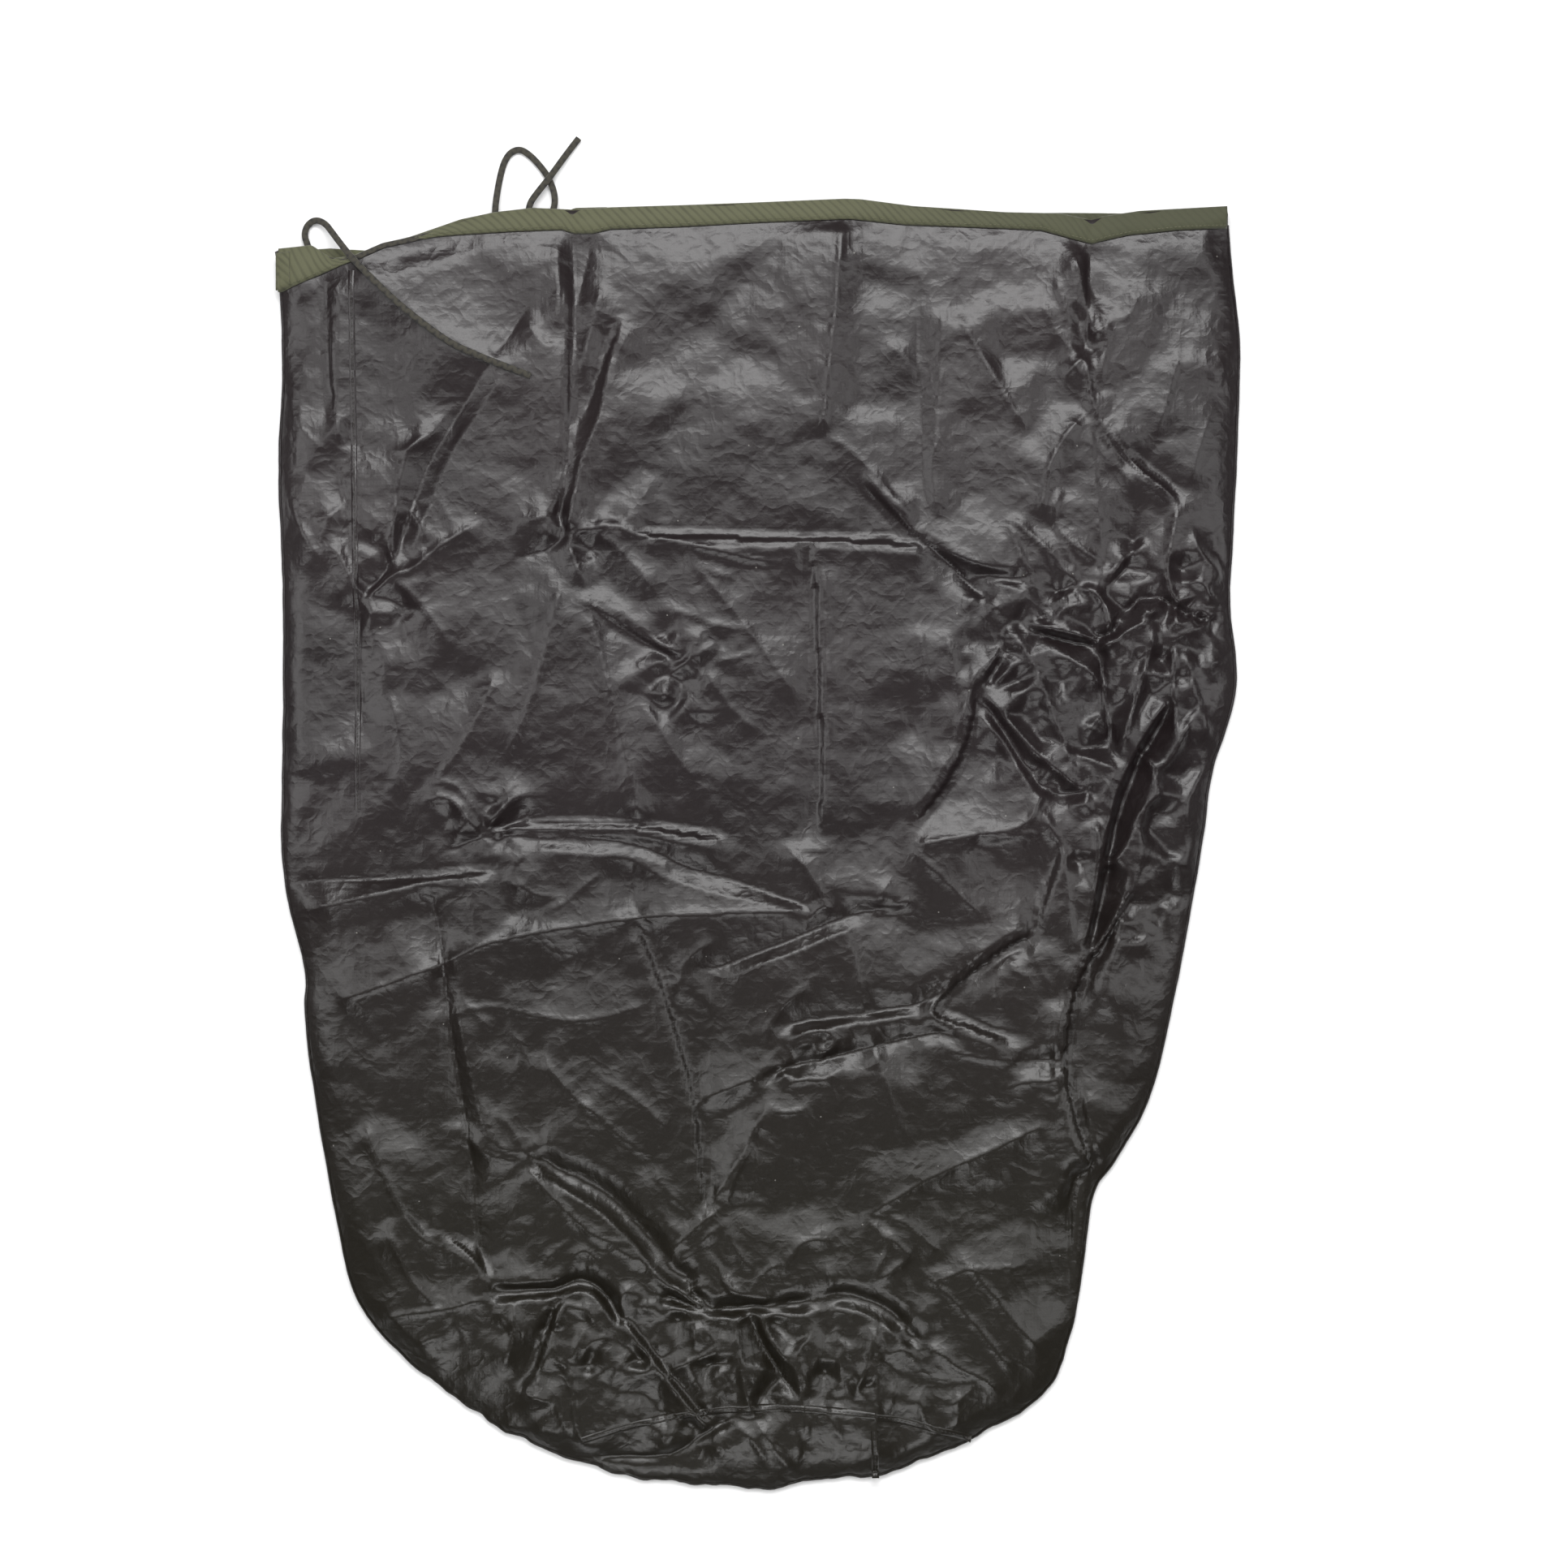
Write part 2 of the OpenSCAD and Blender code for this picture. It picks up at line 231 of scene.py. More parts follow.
rightTail = [
    (0, 0, 0.0053), (0, 0.006, 0.0067), (0, 0.013, 0.007), (0.0005, 0.021, 0.0056), (0.002, 0.032, 0.0036),
    (0.004, 0.043, 0.0028), (0.007, 0.054, 0.0028), (0.012, 0.062, 0.0028), (0.02, 0.065, 0.0028),
    (0.0285, 0.0595, 0.0028), (0.036, 0.0515, 0.0028), (0.0425, 0.043, 0.0028), (0.047, 0.033, 0.0028),
    (0.049, 0.023, 0.0048), (0.0475, 0.0135, 0.0068), (0.042, 0.006, 0.0071), (0.0335, 0.005, 0.0071),
    (0.0275, 0.011, 0.0072), (0.028, 0.0195, 0.0074), (0.035, 0.029, 0.0078), (0.044, 0.04, 0.0078),
    (0.052, 0.0515, 0.0062), (0.06, 0.063, 0.0036), (0.068, 0.0735, 0.0028),
]


def routeFrom(hole, tail):
    return np.array([(hole.x + x, hole.y + y, z) for x, y, z in tail])


leftRoute = routeFrom(leftHole, leftTail)
rightRoute = routeFrom(rightHole, rightTail)

# everything in this dictionary and in the lists below it is in mm
sack = {
    "grid": 4.4,             # mesh of the cloth while it is simulated, halved afterwards
    "edgeHeight": 5.0,
    "clothHeight": 15.5,
    "edgeRound": 30.0,       # how far in from its edge the cloth has risen
    "edgeCalm": 16,          # and how far in its creases have their full height
    "mouthHeight": 12.5,     # the front's edge at the mouth
    "mouthReach": 22,        # how far from the mouth it has that height
    "missHeight": 12,        # taken where nothing lies under a point
    "split": 55.0,           # the fold that the front is split on
}

outline = [
    (-392, 470), (-389, 449), (-387, 378), (-392, 304), (-387, 230), (-387, 82), (-390, -29), (-367, -103),
    (-371, -140), (-354, -251), (-343, -310), (-330, -370), (-302, -407), (-272, -432), (-243, -455),
    (-206, -480), (-154, -500), (-102, -516), (-28, -523), (38, -522), (98, -512), (142, -501), (194, -475),
    (238, -442), (249, -412), (258, -384), (266, -325), (272, -280), (286, -264), (294, -251), (320, -207),
    (338, -125), (349, -66), (362, 8), (368, 60), (379, 89), (389, 126), (388, 156), (382, 200), (387, 267),
    (390, 341), (392, 408), (387, 452), (383, 489), (382, 504),
]
mouthTop = [
    (-394, 483), (-364, 486), (-347, 475), (-330, 477), (-305, 487), (-283, 493), (-243, 507), (-215, 513),
    (-184, 516.5), (-150, 515), (-120, 517), (-65, 518.6), (0, 521), (70, 524), (83, 523.5), (125, 518),
    (200, 513), (245, 512), (270, 507), (276, 509), (310, 514), (382, 518),
]
tapeFoot = [             # the front tape's lower edge
    (-389, 449), (-372, 456), (-356, 463), (-340, 470), (-326, 475), (-305, 486), (-283, 490), (-262, 494),
    (-243, 495.5), (-200, 498), (-160, 499.5), (-150, 496.5), (-135, 496.5), (-120, 500),
    (-65, 502), (0, 505.5),
    (68, 508), (76, 508), (120, 503.5), (200, 500.5), (230, 499), (255, 492), (271, 488), (276, 489.5),
    (300, 495), (340, 499), (381, 501),
]

# The lines that the sack was folded and crushed along: (kind, height, line), all mm.
# A flap stands high on the left of its line, as one follows it, and drops on the right. A flap
# and a groove also have a width.
creases = [
    # the fold down the left of the middle, and the crush where it meets the first cross fold
    ("valley", 5, [
        (-152, 496), (-150, 455), (-150, 420), (-152, 375), (-155, 325), (-160, 285), (-163, 268),
        (-157, 250)]),
    ("ridge", 4, [(-156, 455), (-156, 400), (-155, 350), (-160, 300), (-164, 275)]),
    ("ridge", 4, [(-164, 494), (-163, 445), (-166, 415)]),
    ("ridge", 4, [(-127, 458), (-134, 425), (-142, 400), (-144, 378)]),
    ("valley", 4, [(-136, 496), (-140, 470), (-149, 436)]),
    ("ridge", 6, [
        (-108, 428), (-119, 402), (-124, 378), (-128, 350), (-143, 315), (-150, 285), (-154, 262),
        (-157, 250)]),
    ("valley", 5, [(-111, 424), (-127, 392), (-137, 362), (-142, 345)]),
    ("valley", 4, [(-201, 232), (-180, 236), (-167, 243), (-157, 251)]),
    ("ridge", 4, [(-157, 251), (-150, 230), (-142, 208)]),
    ("ridge", 5, [
        (-157, 251), (-135, 257), (-115, 260), (-104, 252), (-80, 249), (-40, 240), (-5, 231), (20, 228),
    ]),
    ("ridge", 3, [(-115, 259), (-104, 268), (-96, 255)]),
    ("ridge", 4, [(-135, 256), (-118, 244), (-100, 226), (-90, 212), (-84, 200)]),
    ("ridge", 3, [(-64, 244), (-50, 228), (-34, 219), (-18, 217)]),
    # the first cross fold
    ("flap", 4.5, [(140, 241), (90, 246), (40, 247), (0, 248), (-50, 249.5), (-100, 251)], 10),
    # the fold down the middle
    ("flap", 4.5, [(41, 246), (47, 205), (48, 160), (50, 110), (53, 60), (48, 8)], 18),
    ("ridge", 6, [(50, 330), (54, 350), (58, 395), (62, 430), (65, 465), (68, 508)]),
    ("ridge", 3, [(50, 332), (60, 328), (72, 323), (88, 307), (104, 292)]),
    # the left knot and the long slanting fold above it
    ("valley", 4.5, [
        (-294, 236), (-278, 285), (-264, 320), (-242, 352), (-217, 395), (-199, 418), (-186, 442)]),
    ("ridge", 3, [(-284, 232), (-262, 290), (-246, 325), (-226, 352), (-205, 385)]),
    ("ridge", 5, [(-299, 228), (-297, 262), (-290, 308), (-281, 326), (-262, 335)]),
    ("valley", 6, [(-322, 200), (-312, 210), (-303, 219), (-299, 232)]),
    ("ridge", 5, [(-358, 238), (-345, 240), (-339, 232), (-331, 215), (-321, 201)]),
    ("ridge", 5, [
        (-321, 200), (-308, 210), (-300, 219), (-282, 222), (-262, 240), (-246, 250), (-226, 262)]),
    ("ridge", 4, [(-338, 275), (-350, 262), (-357, 243)]),
    ("ridge", 4, [(-322, 198), (-313, 190), (-319, 176)]),
    ("valley", 6, [(-325, 196), (-327, 160), (-324, 125), (-322, 95)]),
    ("ridge", 4, [(-300, 222), (-285, 205), (-266, 185), (-250, 160)]),
    ("valley", 4, [(-353, 462), (-351, 430), (-350, 390), (-347, 350)]),
    ("ridge", 4, [(-350, 462), (-342, 442), (-335, 430)]),
    ("ridge", 4, [
        (-345, 440), (-346, 400), (-344, 360), (-341, 330), (-334, 290), (-331, 250), (-327, 215)]),
    ("valley", 4, [(-340, 330), (-336, 300), (-333, 262), (-329, 225)]),
    ("ridge", 3, [(-385, 378), (-381, 352), (-370, 336), (-358, 322), (-348, 318)]),
    ("ridge", 5, [(-390, 300), (-378, 268), (-366, 245), (-352, 226)]),
    ("ridge", 4, [(-367, 262), (-350, 266), (-338, 274)]),
    ("ridge", 3, [(-262, 335), (-272, 338), (-285, 334)]),
    ("ridge", 4, [(-255, 345), (-262, 335), (-280, 322), (-300, 318)]),
    ("ridge", 4, [(-190, 425), (-178, 408), (-168, 402), (-164, 412)]),
    ("ridge", 4, [(-196, 268), (-185, 262), (-172, 268), (-163, 260)]),
    ("ridge", 4, [(-292, 282), (-276, 262), (-266, 240)]),
    ("ridge", 3, [(-262, 285), (-250, 262), (-246, 250)]),
    # from the left knots down to the second cross fold
    ("ridge", 4, [(-160, 215), (-170, 170), (-180, 130), (-196, 90), (-205, 70)]),
    ("ridge", 4, [(-152, 201), (-142, 198), (-130, 190), (-105, 176), (-80, 162), (-60, 152)]),
    ("valley", 4, [(-140, 194), (-112, 176), (-86, 160), (-66, 148)]),
    ("ridge", 4, [(-140, 196), (-132, 170), (-124, 135), (-113, 95), (-103, 50), (-96, 15)]),
    ("ridge", 4, [(-62, 152), (-50, 152), (-40, 160), (-30, 163)]),
    ("ridge", 4, [(-68, 140), (-56, 150), (-48, 170), (-45, 182)]),
    ("ridge", 3, [(-46, 145), (-34, 125), (-20, 108), (0, 90)]),
    ("ridge", 3, [(-40, 150), (-18, 150), (0, 158)]),
    ("ridge", 3, [(-300, 120), (-290, 85), (-292, 50), (-288, 35)]),
    ("ridge", 4, [(-262, 52), (-240, 80), (-225, 110), (-212, 140)]),
    ("ridge", 3, [(-100, 120), (-80, 95), (-66, 70), (-50, 50)]),
    ("ridge", 3, [(-60, 235), (-20, 190), (10, 150), (30, 120)]),
    ("ridge", 3, [(-90, 190), (-62, 190), (-30, 175), (0, 175)]),
    # the second cross fold: cloth lapped over itself, open along its upper edge
    ("valley", 5, [(-390, -31), (-340, -29), (-290, -28), (-245, -25), (-212, -20)]),
    ("valley", 4, [
        (-262, -9), (-238, 0), (-222, 7), (-203, 11), (-150, 7), (-100, 0), (-78, -10), (-55, -20),
        (-28, -27), (0, -37), (28, -46), (45, -52)]),
    ("flap", 6, [(-30, 4), (-60, 8), (-100, 14), (-150, 15), (-203, 14), (-224, 9)], 12),
    ("ridge", 5, [(-365, -53), (-320, -43), (-270, -31), (-215, -24)]),
    ("ridge", 2.5, [
        (-186, -3), (-150, -8), (-108, -10), (-88, -22), (-60, -33), (-32, -42), (0, -46), (40, -56)]),
    ("ridge", 5, [(-222, 9), (-212, 25), (-200, 36), (-190, 41), (-182, 37)]),
    ("ridge", 4, [(-214, 34), (-203, 44), (-194, 52)]),
    ("ridge", 5, [(-226, 9), (-238, 22), (-248, 36), (-262, 39), (-274, 34)]),
    ("ridge", 4, [(-224, 20), (-240, 44), (-258, 52), (-274, 48)]),
    ("ridge", 3, [(-203, -26), (-196, -12), (-186, -3)]),
    ("ridge", 4, [(-210, -26), (-195, -34), (-180, -42), (-164, -43)]),
    ("ridge", 3, [(-178, -55), (-165, -52), (-150, -41), (-138, -30), (-124, -22)]),
    ("ridge", 5, [
        (-343, -128), (-300, -113), (-255, -97), (-228, -82), (-185, -72), (-140, -66), (-100, -60),
        (-60, -57), (0, -55), (40, -54)]),
    ("valley", 3, [(-103, -12), (-102, -58)]),
    # the straight fold down the left
    ("valley", 6.5, [
        (-268, -40), (-260, -75), (-257, -100), (-253, -140), (-247, -180), (-239, -225), (-232, -270),
        (-229, -320), (-220, -352)]),
    ("ridge", 4, [(-246, -125), (-240, -160), (-232, -195), (-222, -235), (-212, -250)]),
    ("ridge", 3, [(-252, -125), (-240, -127), (-228, -140), (-212, -155)]),
    ("ridge", 3, [(-205, -150), (-190, -165), (-196, -185), (-212, -200)]),
    ("ridge", 3, [(-260, -140), (-220, -130), (-180, -140), (-140, -145), (-90, -130)]),
    # the long line from the second cross fold to the foot
    ("flap", 4.5, [
        (-44, -298), (-48, -250), (-53, -205), (-64, -165), (-76, -125), (-88, -92), (-100, -62)], 14),
    ("ridge", 4, [(-72, -120), (-62, -108), (-60, -96), (-46, -84), (-33, -76)]),
    ("valley", 5, [
        (-49, -102), (-25, -99), (0, -88), (25, -79), (50, -67), (75, -58), (92, -54), (112, -51)]),
    ("ridge", 4, [(-20, -106), (5, -96), (30, -88), (56, -76), (80, -68)]),
    ("ridge", 5, [(94, -52), (101, -38), (110, -26)]),
    ("ridge", 4, [(96, -52), (116, -48), (132, -43)]),
    ("ridge", 5, [(20, -1), (36, -16), (48, -34), (54, -50), (60, -58)]),
    ("ridge", 4, [(38, -66), (46, -54), (56, -50), (66, -60)]),
    ("ridge", 3, [(20, -1), (45, -5), (64, -4)]),
    ("ridge", 4, [(0, -165), (8, -148), (22, -128), (42, -114)]),
    ("ridge", 3, [(70, -66), (79, -100), (86, -140), (95, -170), (106, -205), (118, -245)]),
    # the third cross fold, and the flap that points left from it
    ("valley", 5, [
        (22, -146), (60, -142), (100, -136), (136, -129), (150, -120), (172, -102), (200, -83),
        (222, -74), (229, -60), (234, -35), (246, 0)]),
    ("flap", 7, [
        (204, -160), (190, -156), (170, -148), (138, -139), (150, -122), (175, -102), (203, -81),
        (226, -72)], 12),
    ("ridge", 5, [(248, 4), (242, -22), (234, -48), (227, -70)]),
    ("ridge", 4, [(195, -92), (205, -96), (212, -108), (226, -104)]),
    ("ridge", 4, [(196, -94), (192, -115), (197, -140)]),
    ("ridge", 3, [(222, -78), (226, -100), (245, -125)]),
    ("ridge", 4, [(145, -158), (160, -170), (185, -175), (208, -177), (211, -166), (202, -159)]),
    ("valley", 5, [(0, -190), (22, -182), (50, -175), (90, -166), (130, -156), (160, -152)]),
    ("ridge", 4, [(-48, -208), (-20, -197), (0, -188), (22, -178)]),
    ("ridge", 5, [(22, -162), (36, -152), (56, -151), (64, -160), (54, -168), (48, -176)]),
    ("ridge", 5, [(26, -166), (44, -160), (52, -162)]),
    ("ridge", 4, [(14, -196), (22, -186), (16, -178)]),
    ("ridge", 4, [(28, -152), (60, -148), (92, -144), (132, -139)]),
    ("ridge", 4, [(18, -198), (36, -190), (56, -192), (70, -180)]),
    ("ridge", 4, [(6, -210), (20, -220), (40, -214), (36, -204)]),
    ("ridge", 5, [(200, -200), (218, -192), (240, -193), (248, -182)]),
    ("ridge", 4, [(225, -202), (238, -212), (246, -204)]),
    ("valley", 6, [(212, -176), (232, -175), (248, -176)]),
    # the folds down the right, from the notch in the mouth
    ("valley", 6, [(270, 490), (268, 455), (266, 420), (266, 396)]),
    ("ridge", 7, [(251, 485), (260, 470), (265, 440), (270, 418), (275, 414), (284, 425)]),
    ("ridge", 4, [(240, 465), (247, 438), (255, 415), (262, 404)]),
    ("ridge", 4, [(228, 448), (238, 422), (250, 405), (262, 394)]),
    ("ridge", 7, [
        (248, 377), (256, 388), (265, 397), (268, 368), (274, 348), (288, 328), (300, 312), (322, 294),
        (341, 279)]),
    ("ridge", 5, [(276, 345), (284, 322), (296, 302), (302, 296), (304, 284)]),
    ("valley", 5, [(272, 352), (284, 330), (298, 310), (304, 300)]),
    ("ridge", 6, [(341, 279), (337, 255), (329, 217), (338, 204)]),
    ("flap", 5, [(342, 280), (322, 295), (300, 313)], 8),
    ("ridge", 6, [(266, 352), (248, 330), (236, 308), (231, 282), (228, 262)]),
    ("ridge", 3, [(267, 390), (270, 330), (274, 280), (280, 228)]),
    ("ridge", 5, [(247, 290), (240, 275), (238, 262), (256, 242), (282, 226)]),
    ("ridge", 4, [(242, 258), (248, 240), (256, 222), (262, 209)]),
    ("ridge", 5, [(202, 268), (222, 250), (238, 236), (250, 220), (262, 208)]),
    ("ridge", 4, [(202, 266), (212, 235), (222, 212), (231, 197)]),
    ("valley", 6, [(292, 250), (308, 248), (300, 228), (286, 212), (282, 203)]),
    ("ridge", 6, [(318, 245), (303, 238), (290, 222), (282, 204)]),
    ("ridge", 4, [(160, 430), (172, 412), (182, 396), (192, 378), (208, 352), (218, 336)]),
    ("ridge", 3, [(150, 440), (148, 400), (146, 350), (140, 300), (146, 262)]),
    ("valley", 2, [(128, 460), (130, 400), (132, 340), (134, 280)]),
    ("ridge", 3, [(100, 410), (116, 398), (130, 382)]),
    ("ridge", 4, [(288, 440), (280, 400), (276, 370)]),
    ("ridge", 4, [(322, 330), (334, 370), (342, 405)]),
    ("ridge", 3, [(372, 360), (360, 330), (350, 290)]),
    ("ridge", 4, [(286, 425), (300, 428), (306, 438), (300, 455)]),
    ("ridge", 4, [(388, 400), (378, 385), (376, 370)]),
    # the slanting fold from the middle to the crush on the right
    ("ridge", 6, [
        (86, 302), (90, 296), (108, 274), (128, 251), (146, 240), (172, 230), (198, 221), (216, 218)]),
    ("valley", 6, [(86, 290), (104, 272), (122, 254), (142, 240), (158, 225), (172, 210), (186, 197)]),
    ("valley", 5, [(168, 218), (190, 219), (214, 218)]),
    ("ridge", 4, [(190, 214), (205, 208), (222, 202)]),
    ("ridge", 4, [(162, 200), (180, 200), (192, 194), (202, 180)]),
    # the crush on the right
    ("valley", 9, [(262, 207), (246, 206), (236, 196), (224, 178)]),
    ("ridge", 7, [(222, 176), (232, 192), (246, 204), (262, 209), (276, 203), (286, 186), (290, 182)]),
    ("valley", 9, [(221, 174), (240, 168), (260, 163), (278, 160)]),
    ("ridge", 6, [(220, 178), (240, 174), (262, 169), (278, 166)]),
    ("ridge", 5, [(236, 182), (248, 190), (262, 196), (272, 190)]),
    ("valley", 8, [(268, 172), (276, 166), (286, 172), (292, 182)]),
    ("ridge", 7, [(279, 196), (286, 182), (284, 166), (276, 156), (290, 166), (303, 176), (322, 182)]),
    ("ridge", 7, [(303, 198), (312, 195), (316, 184), (322, 192), (326, 200)]),
    ("ridge", 6, [(322, 182), (318, 160), (312, 138), (305, 115), (300, 98), (292, 72)]),
    ("valley", 8, [(278, 160), (280, 130), (285, 100), (288, 74)]),
    ("ridge", 5, [(292, 172), (302, 160), (300, 145), (285, 150)]),
    ("ridge", 6, [(328, 216), (336, 204), (340, 190), (336, 178), (350, 180), (360, 194)]),
    ("ridge", 6, [(345, 212), (360, 214), (368, 200), (378, 194)]),
    ("ridge", 5, [(330, 180), (334, 165), (345, 170), (362, 178), (372, 192)]),
    ("ridge", 5, [(352, 258), (356, 240), (366, 228), (376, 222), (370, 206)]),
    ("valley", 8, [(292, 184), (310, 200), (330, 200), (350, 184), (372, 182)]),
    ("ridge", 5, [(338, 168), (336, 140), (337, 110), (340, 78), (346, 92), (352, 108)]),
    ("ridge", 5, [(345, 160), (352, 130), (362, 100), (372, 78)]),
    ("ridge", 5, [(386, 156), (374, 146), (364, 150), (370, 130)]),
    ("ridge", 5, [(204, 178), (198, 160), (188, 140), (180, 132), (190, 124)]),
    ("valley", 8, [(200, 172), (196, 150), (186, 134), (180, 126)]),
    ("ridge", 5, [(168, 144), (176, 143), (174, 130), (166, 110), (160, 84)]),
    ("ridge", 4, [(205, 176), (214, 160), (226, 140), (240, 100), (250, 76), (262, 48)]),
    ("ridge", 4, [(212, 150), (200, 138), (190, 128)]),
    ("ridge", 4, [(240, 160), (252, 150), (268, 142), (280, 128)]),
    ("ridge", 4, [(150, 175), (158, 150), (160, 125), (172, 118)]),
    ("ridge", 4, [(130, 180), (134, 150), (140, 120)]),
    # from the crush down to the third cross fold
    ("flap", 6, [(128, 18), (140, 34), (152, 50), (166, 76), (174, 102), (176, 124)], 10),
    ("ridge", 6, [(182, 122), (196, 106), (214, 86), (234, 66), (252, 52), (265, 43)]),
    ("ridge", 4, [(178, 106), (196, 88), (210, 66), (222, 46), (228, 38)]),
    ("valley", 6, [(184, 118), (200, 90), (216, 62), (234, 40), (262, 42)]),
    ("valley", 6, [(236, 38), (250, 41), (266, 42)]),
    ("ridge", 6, [(236, 44), (228, 38), (224, 24), (212, 13), (190, 9), (160, 5), (122, -1)]),
    ("ridge", 4, [(232, 8), (222, 9), (205, 7), (182, 3)]),
    ("ridge", 5, [(122, -1), (134, -14), (150, -28), (168, -46), (182, -60)]),
    ("ridge", 5, [(254, 72), (268, 70), (282, 64), (292, 60), (282, 42), (274, 24)]),
    ("ridge", 5, [(256, 68), (270, 60), (268, 46), (264, 32), (274, 24)]),
    ("ridge", 5, [(250, 30), (262, 34), (274, 22)]),
    ("ridge", 5, [(230, 30), (238, 10), (248, -4), (250, -40), (256, -90)]),
    # the deep groove on the right, and the strip that lies over its far side
    ("groove", 14, [
        (336, 112), (318, 84), (303, 55), (291, 20), (284, -20), (276, -60), (266, -96), (257, -128),
    ], 12),
    ("ridge", 6, [(274, 24), (275, -10), (272, -45), (266, -82), (262, -102)]),
    ("ridge", 6, [
        (312, 72), (322, 62), (320, 50), (326, 42), (318, 34), (306, 24), (302, 4), (288, -14), (282, -18),
    ]),
    ("ridge", 5, [(308, 22), (312, 0), (308, -24), (298, -48), (286, -78)]),
    ("ridge", 5, [(322, 56), (336, 70), (346, 92), (360, 116)]),
    ("flap", 9, [
        (274, -272), (262, -240), (254, -215), (247, -182), (250, -150), (256, -120), (266, -98),
        (284, -74), (298, -46)], 16),
    ("valley", 9, [(258, -388), (255, -350), (252, -310), (256, -275), (270, -262)]),
    ("ridge", 4, [(348, 10), (345, 26), (352, 42), (366, 68)]),
    ("ridge", 4, [(270, -228), (276, -250), (286, -262)]),
    ("ridge", 5, [(264, -200), (270, -230), (267, -270), (266, -320), (263, -370)]),
    # the lower left
    ("ridge", 5, [(-321, -226), (-312, -252), (-300, -278), (-289, -300), (-276, -318), (-262, -328)]),
    ("ridge", 5, [(-272, -302), (-254, -320), (-238, -331), (-226, -345), (-218, -362)]),
    ("valley", 5, [(-276, -300), (-258, -316), (-240, -326), (-226, -338)]),
    ("ridge", 5, [(-306, -308), (-292, -332), (-284, -352), (-270, -368), (-260, -379)]),
    ("ridge", 5, [(-311, -390), (-290, -382), (-262, -379), (-240, -374), (-218, -368)]),
    ("ridge", 4, [(-258, -378), (-246, -386), (-240, -396), (-228, -393)]),
    ("ridge", 4, [(-285, -415), (-270, -402), (-248, -398)]),
    ("groove", 9, [
        (-190, -256), (-165, -268), (-138, -280), (-114, -298), (-92, -322), (-72, -346), (-45, -372),
    ], 13),
    ("ridge", 4, [
        (-217, -217), (-204, -226), (-195, -240), (-188, -256), (-160, -280), (-128, -300), (-102, -324),
        (-88, -346), (-64, -366), (-36, -381)]),
    ("ridge", 5, [(-190, -262), (-168, -286), (-146, -308), (-128, -322), (-104, -324)]),
    ("ridge", 4, [(-128, -323), (-108, -332), (-90, -344)]),
    ("ridge", 4, [(-240, -228), (-233, -244), (-218, -254), (-200, -258), (-190, -254)]),
    ("ridge", 4, [(-224, -205), (-218, -228), (-212, -246), (-192, -250)]),
    ("ridge", 4, [(-178, -170), (-165, -190), (-150, -206), (-128, -222)]),
    ("ridge", 3, [(-150, -205), (-128, -222), (-108, -242), (-85, -255)]),
    ("ridge", 3, [(-90, -260), (-74, -282), (-56, -300), (-48, -306)]),
    ("ridge", 3, [(-130, -190), (-108, -200), (-84, -220), (-70, -240)]),
    ("ridge", 5, [(-42, -298), (-28, -275), (-10, -245), (4, -218), (8, -206)]),
    ("ridge", 5, [(-28, -294), (-22, -272), (-4, -240)]),
    ("ridge", 5, [(-75, -334), (-62, -322), (-46, -306), (-26, -292)]),
    ("ridge", 4, [(-70, -344), (-56, -336), (-42, -318), (-26, -306)]),
    ("ridge", 4, [(-66, -328), (-58, -324), (-50, -330)]),
    ("ridge", 4, [(-26, -294), (-25, -320), (-12, -340), (2, -352)]),
    ("ridge", 5, [(-44, -330), (-32, -345), (-26, -360), (-12, -372)]),
    # the gathers across the foot
    ("groove", 10, [
        (-216, -366), (-190, -364), (-165, -364), (-150, -357), (-134, -360), (-122, -372), (-113, -388),
    ], 8),
    ("ridge", 6, [(-214, -358), (-190, -356), (-166, -355), (-158, -350), (-148, -346)]),
    ("ridge", 5, [(-146, -345), (-150, -334), (-142, -328), (-130, -338), (-140, -346)]),
    ("ridge", 4, [(-178, -346), (-166, -330), (-150, -320)]),
    ("ridge", 5, [(-108, -385), (-114, -372), (-106, -360), (-98, -354)]),
    ("ridge", 5, [(-90, -366), (-94, -374), (-88, -384)]),
    ("ridge", 4, [(-80, -366), (-84, -376), (-78, -386)]),
    ("groove", 10, [
        (-78, -368), (-58, -374), (-36, -380), (-18, -379), (4, -375), (30, -377), (48, -372)], 9),
    ("groove", 10, [(52, -372), (66, -368), (88, -374), (104, -382), (118, -396), (130, -408)], 9),
    ("ridge", 5, [(-30, -345), (-24, -360), (-8, -368), (16, -374)]),
    ("ridge", 5, [(-10, -368), (2, -350), (16, -340), (22, -346)]),
    ("ridge", 4, [(15, -360), (20, -344), (36, -320), (62, -322)]),
    ("ridge", 4, [(60, -365), (58, -350), (52, -338)]),
    ("ridge", 5, [(90, -358), (98, -342), (108, -326), (96, -312), (84, -300)]),
    ("ridge", 5, [(90, -358), (104, -350), (124, -334), (112, -324), (98, -310)]),
    ("ridge", 4, [(100, -300), (125, -310), (150, -336)]),
    ("ridge", 4, [(86, -304), (129, -276), (175, -255), (236, -226)]),
    ("ridge", 4, [(160, -330), (185, -360), (208, -388), (232, -415)]),
    ("ridge", 4, [(130, -345), (160, -372), (186, -402), (206, -430)]),
    ("ridge", 4, [(140, -358), (165, -345), (190, -345), (218, -342)]),
    ("ridge", 6, [(-197, -368), (-199, -392), (-203, -415), (-208, -431)]),
    ("ridge", 5, [(-214, -368), (-208, -382), (-204, -396)]),
    ("ridge", 7, [
        (-158, -370), (-168, -392), (-176, -415), (-184, -434), (-191, -447), (-178, -450), (-164, -455),
    ]),
    ("valley", 7, [(-163, -372), (-174, -402), (-184, -430), (-190, -444)]),
    ("ridge", 5, [
        (-167, -395), (-167, -420), (-158, -422), (-152, -428), (-150, -455), (-146, -484), (-132, -497),
    ]),
